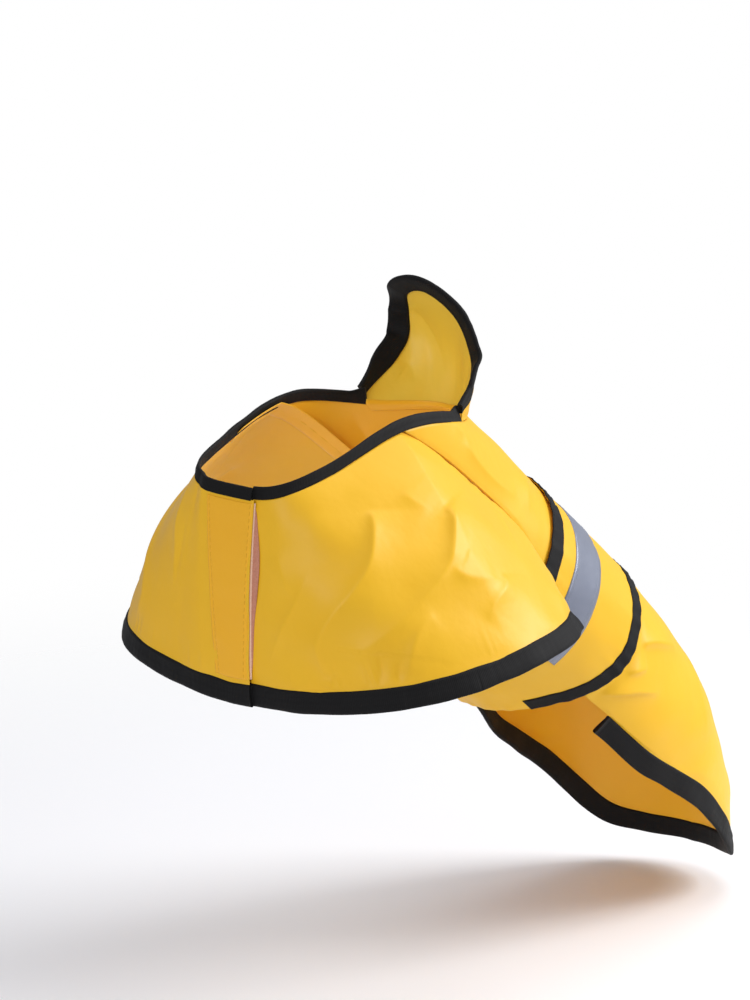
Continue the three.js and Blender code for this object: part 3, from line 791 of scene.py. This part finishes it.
HOOD_RIM = table(
    "u x y z back",
    (-1, -32, -31, 13.5, 0),
    (-0.8, -36.5, -12, 24, 5),
    (-0.62, -34, 2, 39, 13),
    (-0.45, -32, -3, 55, 24),
    (-0.28, -27, -13, 66, 32),
    (-0.1, -14, -16, 70, 33),
    (0.07, -2, -12, 65.5, 24),
    (0.25, 8, -6, 56, 12),
    (0.45, 16.5, -4, 43, 4),
    (0.62, 21, -5, 33, 1),
    (0.8, 26, -14, 21, 0),
    (1, 32, -30, 13.5, 0),
)
HOOD_TURN = 50  # turn round the neck at which its foot ends on each side
HOOD_MIDDLE = 0.45  # share of the way to the rim of the middle point
HOOD_TAPE_END = 6  # width of its tape at both ends


def hood(u, v):
    """Quadratic curve from the neck seam through a middle point set back behind it to the rim."""
    u, v = np.broadcast_arrays(np.asarray(u, float), np.asarray(v, float))
    foot = body(0.0, HOOD_TURN * u) + np.array([0, 0, GAP])
    rim = np.stack([smooth(HOOD_RIM, "u", c, u) for c in "xyz"], -1)
    middle = mix(foot, rim, HOOD_MIDDLE)
    middle[..., 1] += smooth(HOOD_RIM, "u", "back", u)
    w = v[..., None]
    return foot * (1 - w) ** 2 + middle * 2 * w * (1 - w) + rim * w * w


def share_before(surface, u, wide):
    """Share of each line across a surface where a width is left up to its far end."""
    line = surface(np.asarray(u, float)[:, None], np.linspace(0, 1, 25)[None])
    return 1 - wide / np.linalg.norm(np.diff(line, axis=1), axis=-1).sum(1)


def edge_of(surface, u, v, sign, half=WALL / 2):
    """Middle of the wall along an edge, its outward normal, and the way off the cloth, which is square
    to the edge and the normal."""
    normal = normal_at(surface, u, v) * sign
    along = np.gradient(surface(u, v), axis=0)
    off = unit(np.cross(normal, along))
    off *= np.sign((off * (surface(u, v) - surface(u, v - 0.02))).sum(-1, keepdims=True))
    return surface(u, v) - normal * np.broadcast_to(half, np.shape(u))[:, None], normal, off


print("back panel's edge rows:", len(BACK_EDGE["s"]), "and tail edge rows:", len(TAIL_EDGE["s"]))

# %% [markdown]
# Back panel and its tail tape
# One piece of cloth covers the back from the neck to the tail and rounds the rump. Its own weight pulls
# it smooth, and folds start only where something holds it: at the shoulder seams, and behind the belt,
# where the bend of the body pushes the cloth together. A fold's u is here the turn round the body in
# degrees, and its v the length along the back in millimetres.

# %% Back panel
BACK_FOLDS = table(
    "fold u v high steep broad",
    # Along the left shoulder seam, and a facet before the belt
    (1, 62.7, -2, 0.2, 3, 7),
    (1, 58.5, 6, 1, 3, 8),
    (1, 62.9, 12, 1.3, 3, 8),
    (1, 62.7, 20, 1.3, 3, 8),
    (1, 59.9, 31, 1, 3, 8),
    (1, 55, 43, 0.1, 3, 7),
    (2, 62, 49.5, 0.1, 4, 10),
    (2, 46.7, 48.2, 1.3, 4, 12),
    (2, 33.5, 49, 0.9, 4, 10),
    (2, 22, 52, 0, 4, 8),
    # Behind the belt on the left, from the top of the thigh down
    (3, 78, 161, 0.5, 1.4, 6),
    (3, 70, 171, 2.6, 1.4, 7),
    (3, 60, 187, 2.2, 1.8, 8),
    (3, 48, 205, 0.1, 2.4, 8),
    (4, 98, 158, 0.5, 1.4, 6),
    (4, 91, 166, 2.3, 1.5, 7),
    (4, 82, 176, 0.1, 2, 7),
    (5, 117, 152, 0.5, 1.4, 7),
    (5, 108, 163, 3, 1.5, 8),
    (5, 98, 176, 2.6, 1.8, 8),
    (5, 84, 198, 0.1, 3, 8),
    # Facets of the left flank and the rump
    (6, 38, 216, 0, 5, 12),
    (6, 50, 230, 1.2, 6, 14),
    (6, 66, 246, 1, 7, 14),
    (6, 78, 266, 0, 6, 12),
    (7, 30, 300, 0, 7, 12),
    (7, 46, 318, 1, 7, 12),
    (7, 60, 330, 0, 6, 10),
    (8, 20, 160, 0.1, 3, 8),
    (8, 23, 176, 0.9, 4, 10),
    (8, 20, 198, 0, 4, 10),
    # Right side, which the front view hides
    (9, -58, 4, 0.1, 3, 7),
    (9, -61, 15, 1.2, 3, 8),
    (9, -58, 34, 0.9, 3, 8),
    (9, -52, 46, 0, 3, 7),
    (10, -50, 206, 0.1, 3, 8),
    (10, -64, 186, 1.5, 3, 8),
    (10, -76, 168, 1.7, 2.4, 7),
    (10, -82, 159, 0.2, 2.2, 6),
    (11, -90, 184, 0.1, 3, 7),
    (11, -104, 168, 1.9, 2.6, 8),
    (11, -116, 155, 0.3, 2.4, 7),
    (12, -72, 258, 0, 6, 12),
    (12, -56, 238, 1.2, 6, 14),
    (12, -40, 222, 0, 5, 12),
    (13, -34, 158, 0.1, 3, 8),
    (13, -38, 176, 1, 4, 9),
    (13, -32, 194, 0, 4, 9),
)
BELT_STARTS = (58, 64)  # lengths along the back between which the folds sink under the belt
EDGE_PRESSED = 0.3  # how far the sewn edges are pressed in


def back_creased(u, v):
    """Back panel raised along its normal by its folds, free of them under the belt and at the edges."""
    s, turn = back_place(u, v)
    form, outward = back(u, v), normal_at(back, u, v)
    height = fold_heights(BACK_FOLDS, lambda turn, s: body(s, turn), form, outward)
    behind = belt_edge("rear", turn)
    under_belt = ease(*BELT_STARTS, s) * (1 - ease(behind + 1, behind + 8, s))
    height = (height + 0.4 * waves(turn, s, 46, 3)) * (1 - under_belt)
    held = ease(0, 0.04, 1 - abs(u)) * ease(0, 0.06, 1 - v)
    return form + outward * (height * held - EDGE_PRESSED * (1 - held))[..., None]


BACK_LINES = (163, 285)  # of the grid, across and along the back
across, down = np.linspace(-1, 1, BACK_LINES[0]), np.linspace(0, 1, BACK_LINES[1])
back_points = back_creased(across[:, None], down[None])
tuck = back_points[:, -1] - back_points[:, -3]
tuck *= TUCK / np.linalg.norm(tuck, axis=-1, keepdims=True)
tucked = [(back_points[:, -1] + tuck * share)[:, None] for share in (0.5, 1)]
back_points = np.concatenate([back_points, *tucked], 1)
back_piece = cloth_sheet("back_panel_cloth", back_points, 1, SHELL, inner=INNER)
finish_piece(back_piece, "coated_cloth", "back_panel")

TAIL_TAPE_END = 0.985  # share of the tail edge that the tape reaches on each side
tail_u = np.linspace(-TAIL_TAPE_END, TAIL_TAPE_END, 400)
tail_tape = bind("tail_binding", edge_of(back, tail_u, np.ones_like(tail_u), 1), TAPE, 11)
print("back panel", round(area_of(back_points) * 1e4), "cm2")

# %% [markdown]
# The two fronts of the cape
# The cape is cut in two, joined to the back along a seam over each shoulder and closed at the front.
# Its cloth runs into the folded tape at the hem, which takes up a little fullness as small gathers.

# %% Cape fronts
GATHERS_LEFT = table(
    "start end size deep",
    (0.1, 0.17, 0.023, 0.22),
    (0.17, 0.35, 0.031, 0.34),
    (0.52, 0.6, 0.028, 0.16),
)
GATHERS_RIGHT = table(
    "start end size deep",
    (0.05, 0.13, 0.021, 0.3),
    (0.2, 0.31, 0.027, 0.26),
    (0.44, 0.56, 0.033, 0.26),
)


def gathers(rows, u):
    """Waves across the hem in the stretches of a table, no two of them even."""
    total = np.zeros(np.shape(u))
    for start, end, size, deep in zip(*(rows[c] for c in ("start", "end", "size", "deep"))):
        window = ease(start, start + 0.03, u) * (1 - ease(end - 0.03, end, u))
        slow = 0.6 + 0.4 * np.sin(2 * np.pi * u / (size * 3.7) + size * 90)
        bent = 2.2 * np.sin(2 * np.pi * u / (size * 2.6))
        total = total + window * deep * slow * np.sin(2 * np.pi * u / size + bent)
    return total


def front_lift(u, side):
    """The outer front stands off the other one where they lie over each other."""
    return FRONT_LIFT * (1 - ease(0.06, 0.14, u)) if side < 0 else 0 * u


SEAM_TAPE = 5.5  # half the width of the tape inside the seam
SEAM_GAP = 0.004  # share of a line that the cloth leaves free at its top
SHOULDER = 0.62  # from here back the lines of the grid lie closer
CAPE_LINES = (160, 90, 124)  # before the shoulder, behind it, and down the cape
cape_pieces, cape_grids = {}, {}
for word, side, rows in (("left", 1, GATHERS_LEFT), ("right", -1, GATHERS_RIGHT)):
    front_us = np.linspace(-OVERLAP, SHOULDER, CAPE_LINES[0])
    us = np.concatenate([front_us, np.linspace(SHOULDER, 1, CAPE_LINES[1])[1:]])
    end = share_before(cape_form, side * us, TAPE - TUCK)
    hem = share_before(cape_form, side * us, TAPE)[:, None]
    u_grid = np.broadcast_to(us[:, None], (len(us), CAPE_LINES[2]))
    v_grid = mix(SEAM_GAP, end[:, None], np.linspace(0, 1, CAPE_LINES[2])[None])
    points = cape(side * u_grid, v_grid)
    outward = -normal_at(cape_form, side * u_grid, v_grid)
    near_hem = ease(0.84, 0.95, v_grid / hem) * (1 - ease(0.97, 1.0, v_grid / hem))
    free = ease(0.03, 0.15, v_grid) * (1 - ease(0.86, 0.93, v_grid))
    fine = gathers(rows, u_grid) * near_hem + 0.3 * waves(u_grid * 180, v_grid * 110, 34, 21 + side) * free
    at_seam = ease(0.55, 0.66, u_grid)
    fine = fine - 0.4 * np.exp(-(((v_grid - SEAM_GAP) / 0.01) ** 2)) * at_seam
    fine = fine + 0.22 * np.exp(-((v_grid / 0.05) ** 2)) * waves(u_grid * 180, 0, 5, 27 + side) * at_seam
    points = points + outward * (fine + front_lift(u_grid, side))[..., None]
    name = "cape_" + word
    cape_pieces[word] = finish_piece(cloth_sheet(name + "_cloth", points, -side, SHELL), "coated_cloth", name)
    cape_grids[word] = points
    at = np.linspace(-OVERLAP if side < 0 else HEM_START, 0.997, 420)
    end = share_before(cape_form, side * at, TAPE)
    half = WALL / 2 - front_lift(at, side)
    edge = edge_of(lambda u, v: cape(side * u, v), at, end, -side, half)
    cape_pieces["hem_" + word] = bind("hem_binding_" + word, edge, TAPE, 31 + side)
    seam_u = np.linspace(0.5, 0.995, 150)[:, None] * side
    wide = np.linspace(-SEAM_TAPE, SEAM_TAPE, 13)[None]
    downward = unit(cape(seam_u, 0.05 + 0 * wide) - cape(seam_u, 0.002 + 0 * wide))
    inward = normal_at(cape_form, seam_u + 0 * wide, 0.01 + 0 * wide)
    under = mix(0.62, 1.1, ease(0, 4, wide))
    tape_points = cape(seam_u, 0.002 + 0 * wide) + downward * wide[..., None] + inward * under[..., None]
    seam = cloth_sheet(name + "_seam_tape", tape_points, -side, INNER, LINING)
    finish_piece(seam, "coated_cloth")
    cape_pieces["seam_" + word] = seam
    print(name, round(area_of(points) * 1e4), "cm2")

# %% [markdown]
# Strip down the front and the fastening under it
# The outer front ends in a strip of doubled cloth with a row of stitches near each side. Under its free
# edge lies the fastening tape, of which a long wedge shows beside the edge. A thin pale peach sheet that
# slopes out from under the strip's free edge is painted highlight, the lit side of that edge.

# %% Front strips
PLACKET_RISE = 0.55  # doubled cloth over the outer front
PLACKET_FROM, PLACKET_TO = -0.03, OVERLAP - 0.004
STRIP_EDGE = table(
    "v u",
    (0, 0.02),
    (0.06, 0.044),
    (0.15, 0.058),
    (0.3, 0.068),
    (0.45, 0.06),
    (0.6, 0.05),
    (0.8, 0.044),
    (0.87, 0.04),
)
us = np.linspace(PLACKET_FROM, PLACKET_TO, 44)[:, None]
vs = np.linspace(0.02, 0.87, 130)[None]
outward = -normal_at(cape_form, us + 0 * vs, vs + 0 * us)
stitched = -0.3 * np.exp(-(((us - PLACKET_FROM - 0.006) / 0.0035) ** 2))
rolled = -0.5 * np.exp(-(((PLACKET_TO - us) / 0.0045) ** 2))
rolled = rolled - 0.3 * np.exp(-(((us - PLACKET_FROM) / 0.002) ** 2))
ripple = 0.14 * waves(us * 180, vs * 100, 14, 51) + stitched + rolled
facing_points = cape(us, vs) + outward * (FRONT_LIFT + PLACKET_RISE + ripple)[..., None]
placket = cloth_sheet("placket_doubled_cloth", facing_points, -1, FACING, PLACKET_RISE)
finish_piece(placket, "coated_cloth", "placket")
for word, row in (("left", 6), ("right", 38)):
    path, facing = facing_points[row], outward[row]
    finish_piece(stitch_row("placket_stitches_" + word, path, facing, YELLOW_THREAD))

LIP_FROM, LIP_TO = PLACKET_TO - 0.006, PLACKET_TO + 0.006
lip_u = np.linspace(LIP_FROM, LIP_TO, 12)[:, None]
lip_rise = mix(FRONT_LIFT - 0.15, 0.75, ease(0.3, 1, (lip_u - LIP_FROM) / (LIP_TO - LIP_FROM)) + 0 * vs)
lip_points = cape(lip_u, vs) - normal_at(cape_form, lip_u + 0 * vs, vs + 0 * lip_u) * lip_rise[..., None]
# Pale peach sheet along the strip's free edge: painted highlight for the lit side of that edge.
edge_highlight = cloth_sheet("fastening_edge_painted_highlight", lip_points, -1, PEACH_EDGE_PAINTED_HIGHLIGHT, LINING)
finish_piece(edge_highlight, "fastening_tape")

share = np.linspace(0, 1, 24)[:, None]
u_grid = mix(-0.03, smooth(STRIP_EDGE, "v", "u", vs), share)
v_grid = vs + 0 * share
strip_points = cape(u_grid, v_grid) - normal_at(cape_form, u_grid, v_grid) * 0.6
strip = cloth_sheet("fastening_strip_loop", strip_points, -1, LOOP, LINING)
finish_piece(strip, "fastening_tape", "fastening_strip")
print("placket", round(area_of(facing_points) * 1e4), "cm2")

# %% [markdown]
# Girth belt, reflective strip and bands
# The belt is a separate piece laid over the back and carried round under the belly, where its ends lie
# over each other and hook tape holds them. A reflective strip runs along its middle and a black band
# along each edge. Each one is stitched along both sides, which presses its edges in a little.

# %% Belt
TRIM_RISE = 0.45  # what lies sewn flat on the belt
STRIP_FROM, STRIP_TO, STRIP_TURN = 88.5, 113, 122
BAND_WIDTH, BAND_TURN = 9.5, 150
UNDER_BAND = 0.7  # how far the bands reach past the cut edges of the belt


def belt_patch(turn, s, rise):
    """Points on the belt moved out along its normal, and that normal. The belt is slightly uneven all
    over, and its stitched edges pull in and out a little more."""
    normal = normal_at(belt, turn + 0 * s, s + 0 * turn, 0.05)
    share = (s - belt_edge("front", turn)) / (belt_edge("rear", turn) - belt_edge("front", turn))
    edges = np.exp(-((share / 0.16) ** 2)) + np.exp(-(((1 - share) / 0.16) ** 2))
    uneven = 0.2 * waves(turn, s, 24, 61) + 0.28 * waves(turn, 0 * s, 9, 63) * edges - 0.2
    return belt(turn + 0 * s, s + 0 * turn) + normal * (rise + uneven)[..., None], normal


BELT_LINES = (380, 44)  # of the grid, round the body and along it
turns = np.linspace(-BELT_END, BELT_END, BELT_LINES[0])[:, None]
share = np.linspace(0, 1, BELT_LINES[1])[None]
lengthways = mix(belt_edge("front", turns) + UNDER_BAND, belt_edge("rear", turns) - UNDER_BAND, share)
belt_points = belt_patch(turns, lengthways, BELT_LIFT)[0]
belt_piece = finish_piece(cloth_sheet("belt_cloth", belt_points, 1, SHELL), "coated_cloth", "belt")


def strip_edges(turn):
    """The reflective strip keeps to two lengths along the back."""
    return STRIP_FROM + 0 * turn, STRIP_TO + 0 * turn


def front_edges(turn):
    """The front band lies along the front edge of the belt."""
    front = belt_edge("front", turn)
    return front, front + BAND_WIDTH


def rear_edges(turn):
    """The rear band lies along its rear edge."""
    rear = belt_edge("rear", turn)
    return rear - BAND_WIDTH, rear


def laid_strip(name, node_name, turn_end, edges, finish, seed, rows=16):
    """Single tape laid on the belt between two edges and stitched near both. Its finish is its material,
    its slot and its thread."""
    material, slot, thread = finish
    turn = np.linspace(-turn_end, turn_end, 300)[:, None]
    share = np.linspace(0, 1, rows)[None]
    s = mix(*edges(turn), share)
    pressed = 0.2 * (np.exp(-((share / 0.06) ** 2)) + np.exp(-(((1 - share) / 0.06) ** 2)))
    rise = BELT_LIFT + TRIM_RISE + 0.06 * waves(turn, s, 7, seed) - pressed
    points, normal = belt_patch(turn, s, rise)
    print(node_name, round(float(np.ptp(lengths(points, 0)[:, rows // 2]))), "mm long")
    for word, row in (("front", 2), ("rear", rows - 3)):
        path, facing = points[:, row], normal[:, row]
        finish_piece(stitch_row(f"{node_name}_stitches_{word}", path, facing, thread))
    tape = cloth_sheet(name, points, 1, material, TRIM_RISE)
    return finish_piece(tape, slot, node_name), points


GREY = (REFLECTIVE, "reflective_tape", GREY_THREAD)
BLACK = (BINDING, "black_tape", BLACK_THREAD)
reflective, reflective_points = laid_strip(
    "reflective_strip_beaded", "reflective_strip", STRIP_TURN, strip_edges, GREY, 71
)
band_front, _ = laid_strip("band_front_tape", "band_front", BAND_TURN, front_edges, BLACK, 73)
band_rear, _ = laid_strip("band_rear_tape", "band_rear", BAND_TURN, rear_edges, BLACK, 75)

CLOSURE_FROM, CLOSURE_TO, CLOSURE_THICK = 168, 190, 0.7
turn = np.linspace(CLOSURE_FROM, CLOSURE_TO, 30)[:, None]
s = np.linspace(93, 121, 30)[None]
closure_normal = normal_at(lambda turn, s: body(s, turn), turn + 0 * s, s + 0 * turn, 0.05)
closure_points = body(s, turn) + closure_normal * (BELT_LIFT + GAP + CLOSURE_THICK)
closure = cloth_sheet("belt_closure_hook", closure_points, 1, HOOK, CLOSURE_THICK)
finish_piece(closure, "black_tape", "belt_closure")
print("belt", round(area_of(belt_points) * 1e4), "cm2")

# %% [markdown]
# Hood and neck tapes
# The hood lies back with its rim standing behind the neck. Its cloth bends in soft folds that run down
# into the neck seam, and a seam allowance shows inside the neck. Its tape narrows towards both ends,
# where it runs into the tape round the neck. That tape is narrower, and at the front its right half
# lies over its left one.

# %% Hood
HOOD_FOLDS = table(
    "fold u v high steep broad",
    # From the rim down to the seam at the back of the neck
    (1, -0.42, 0.84, 0.1, 4, 7),
    (1, -0.34, 0.66, 1.5, 4, 8),
    (1, -0.24, 0.4, 1.2, 4, 8),
    (1, -0.18, 0.16, 0.1, 3, 7),
    # Near leg, where the cloth is gathered into the seam
    (2, 0.44, 0.74, 0.1, 3, 6),
    (2, 0.34, 0.5, 1.2, 3, 7),
    (2, 0.24, 0.2, 0.9, 3, 6),
    (2, 0.2, 0.04, 0, 3, 6),
    (3, 0.66, 0.7, 0, 3, 5),
    (3, 0.6, 0.4, 0.9, 3, 6),
    (3, 0.54, 0.12, 0.1, 3, 5),
    # Far leg
    (4, -0.74, 0.72, 0, 3, 6),
    (4, -0.62, 0.46, 1.2, 3, 7),
    (4, -0.54, 0.14, 0.1, 3, 6),
)


def hood_tape_width(u):
    """Width of the hood's tape, narrowing past 0.7 of the way to each end."""
    return mix(TAPE, HOOD_TAPE_END, ease(0.7, 1, abs(u)))


HOOD_CLOTH_END = 0.985  # share of its foot that the cloth reaches on each side
HOOD_LINES = (170, 70)  # of the grid, round the hood and up it
us = np.linspace(-HOOD_CLOTH_END, HOOD_CLOTH_END, HOOD_LINES[0])
end = share_before(hood, us, np.maximum(hood_tape_width(us) - TUCK, 1.5))
u_grid = np.broadcast_to(us[:, None], HOOD_LINES)
v_grid = end[:, None] * np.linspace(0, 1, HOOD_LINES[1])[None]
hood_form, outward = hood(u_grid, v_grid), -normal_at(hood, u_grid, v_grid)
height = fold_heights(HOOD_FOLDS, hood, hood_form, outward)
height = height + 0.3 * waves(u_grid * 90, v_grid * 50, 30, 81)
height = height * ease(0, 0.12, v_grid) * (1 - ease(0.75, 0.85, v_grid))
height = height * ease(0, 0.1, HOOD_CLOTH_END - abs(u_grid))
hood_points = hood_form + outward * height[..., None]
# The hood's inner face takes the paler copy of the cloth, which is painted light.
hood_piece = cloth_sheet("hood_cloth", hood_points, -1, SHELL, inner=HOOD_INNER_PAINTED_LIGHT)
finish_piece(hood_piece, "coated_cloth", "hood")

SEAM_INSIDE = 1.3  # the allowance lies this far inside the back panel
foot_turn = np.linspace(-HOOD_TURN, HOOD_TURN, 120)[:, None]
foot_depth = np.linspace(-2.5, 4, 9)[None]
foot_points = body(np.maximum(foot_depth, 0), foot_turn, -WALL / 2 - SEAM_INSIDE)
foot_points[..., 2] -= np.minimum(foot_depth, 0)
hood_seam = cloth_sheet("hood_seam_allowance", foot_points, -1, INNER, LINING)
finish_piece(hood_seam, "coated_cloth")

at = np.linspace(-1, 1, 340)
edge = edge_of(hood, at, share_before(hood, at, hood_tape_width(at)), -1)
hood_tape = bind("hood_binding", edge, hood_tape_width(at), 91)

NECK_TAPE, NECK_TAPE_THICK = 5, 2.4
NECK_TAPE_RISE, NECK_LEAN = 0.5, 0.3  # how far it stands above the ring, and how far it leans out
NECK_TAPE_OVERLAP = 1.5  # how far it runs down over the cloth
NECK_TAPE_START = 49.5  # turn at which each half begins, where the hood's foot ends
NECK_TAPE_MEET, NECK_TAPE_UNDER = 178, 178.5
UP = np.array([0, 0, 1.0])
for word, side in (("left", 1), ("right", -1)):
    turn = np.linspace(NECK_TAPE_START, NECK_TAPE_MEET if side < 0 else NECK_TAPE_UNDER, 260)
    if side < 0:  # over the middle in steps that even out the square front
        over = (180 - NECK_TAPE_MEET) * np.linspace(-1, 0.94, 60)[1:] ** 3
        turn = np.concatenate([turn, 180 + over])
    rise = FRONT_LIFT * ease(170, NECK_TAPE_MEET, turn) if side < 0 else 0 * turn
    point = body(0.0, side * turn, rise - WALL / 2)
    radial = point + np.array([0, BODY["deep"][0], 0])
    radial[:, 2] = 0
    radial = unit(radial)
    normal = unit(radial + UP * NECK_LEAN)
    off = unit(UP - radial * NECK_LEAN)
    foot = point + off * (NECK_TAPE_RISE - NECK_TAPE_OVERLAP)
    widened = 3 * (1 - ease(NECK_TAPE_START, NECK_TAPE_START + 9, turn))
    wide = NECK_TAPE + NECK_TAPE_OVERLAP + widened
    bind("neck_binding_" + word, (foot, normal, off), wide, 95 + side, NECK_TAPE_THICK)
print("hood", round(area_of(hood_points) * 1e4), "cm2")

# %% [markdown]
# Flat pieces
# Every panel started as a flat piece.


# %% [markdown]
# Floor, light and camera
# A small studio for a portrait, with a near-white floor and surround. The main light is a broad one to
# the wearer's left and behind, so that it brightens the flank and grazes the folds of the front. A
# weak one hangs overhead and a weak one fills in from the front. The camera is a long lens a little
# above the coat, to the wearer's front left, so that lines stay nearly parallel.

# %% Studio
FLOOR_Z, FLOOR_HALF = -300, 6000
AZIMUTH, ELEVATION = np.radians(40), np.radians(15)
DISTANCE = 2300
VIEW_WIDTH = 375  # millimetres across the picture at the coat
MIDDLE_LEFT, MIDDLE_DOWN = 37.5, 46  # from the nape to the middle of the picture
SENSOR = 36
SURROUND = 0.42  # light from all round, against 1 for the white that the camera sees


def fading_floor(name, colour, rough, inner, outer):
    """Matt white that turns see-through between two distances from the coat."""
    material, tree, output = blank(name)
    shader = node(tree, "ShaderNodeBsdfPrincipled", {"Base Color": linear(colour), "Roughness": rough})
    clear = node(tree, "ShaderNodeBsdfTransparent")
    where = node(tree, "ShaderNodeTexCoord").outputs["Object"]
    from_coat = {0: where, 1: (0.0, 0.0, -FLOOR_Z * MM)}
    away = node(tree, "ShaderNodeVectorMath", from_coat, operation="ADD").outputs[0]
    far = node(tree, "ShaderNodeVectorMath", {0: away}, operation="LENGTH").outputs["Value"]
    span = {"Value": far, "From Min": inner * MM, "From Max": outer * MM}
    share = node(tree, "ShaderNodeMapRange", span, interpolation_type="SMOOTHSTEP").outputs[0]
    both = node(tree, "ShaderNodeMixShader", {0: share, 1: shader.outputs[0], 2: clear.outputs[0]})
    tree.links.new(both.outputs[0], output.inputs["Surface"])
    return material


corners = np.array([(-1, -1, 0), (1, -1, 0), (1, 1, 0), (-1, 1, 0)]) * FLOOR_HALF + UP * FLOOR_Z
floor_white = fading_floor("floor_matt", "#FAFAFC", 0.6, 250, 800)
floor = make_mesh("floor", corners, [[0, 1, 2, 3]], np.zeros((4, 2)), floor_white)

scene = bpy.context.scene
world = bpy.data.worlds.new("surround")
world.use_nodes = True
tree = world.node_tree
tree.nodes.clear()
seen = node(tree, "ShaderNodeBackground", {"Color": linear("#FFFFFF"), "Strength": 1.0})
lighting = node(tree, "ShaderNodeBackground", {"Color": linear("#F6F8FF"), "Strength": SURROUND})
ray = node(tree, "ShaderNodeLightPath").outputs["Is Camera Ray"]
both = node(tree, "ShaderNodeMixShader", {0: ray, 1: lighting.outputs[0], 2: seen.outputs[0]})
node(tree, "ShaderNodeOutputWorld", {"Surface": both.outputs[0]})
scene.world = world


def soft_light(name, place, target, size, power):
    """White square area light at a place, turned to face a target."""
    data = bpy.data.lights.new(name, "AREA")
    data.size = size * MM
    data.energy = power
    light = bpy.data.objects.new(name, data)
    light.location = np.array(place) * MM
    light.rotation_mode = "QUATERNION"
    aim = Vector((np.array(target, float) - np.array(place, float)).tolist())
    light.rotation_quaternion = aim.to_track_quat("-Z", "Y")
    scene.collection.objects.link(light)
    return light


soft_light("overhead", (200, 500, 1500), (0, 60, -100), 1200, 9)
soft_light("key", (1000, 1150, 700), (60, 60, -130), 800, 27)
soft_light("fill", (500, -1700, 600), (0, 0, -100), 1000, 11.5)

right = np.array([np.cos(AZIMUTH), np.sin(AZIMUTH), 0])
level = np.array([np.sin(AZIMUTH), -np.cos(AZIMUTH), 0])
toward = level * np.cos(ELEVATION) + UP * np.sin(ELEVATION)
upward = np.cross(toward, right)
place = toward * DISTANCE - right * MIDDLE_LEFT - upward * MIDDLE_DOWN
camera = bpy.data.objects.new("camera", bpy.data.cameras.new("camera"))
camera.data.sensor_fit = "HORIZONTAL"
camera.data.sensor_width = SENSOR
camera.data.lens = SENSOR * DISTANCE / VIEW_WIDTH
camera.data.clip_start = 0.05
camera.data.clip_end = 50
turned = np.eye(4)
turned[:3, :3] = np.stack([right, upward, toward], 1)
turned[:3, 3] = place * MM
camera.matrix_world = Matrix(turned.tolist())
scene.collection.objects.link(camera)
scene.camera = camera
scene.view_settings.view_transform = "Standard"
print("camera", round(DISTANCE), "mm away, lens", round(camera.data.lens, 1))
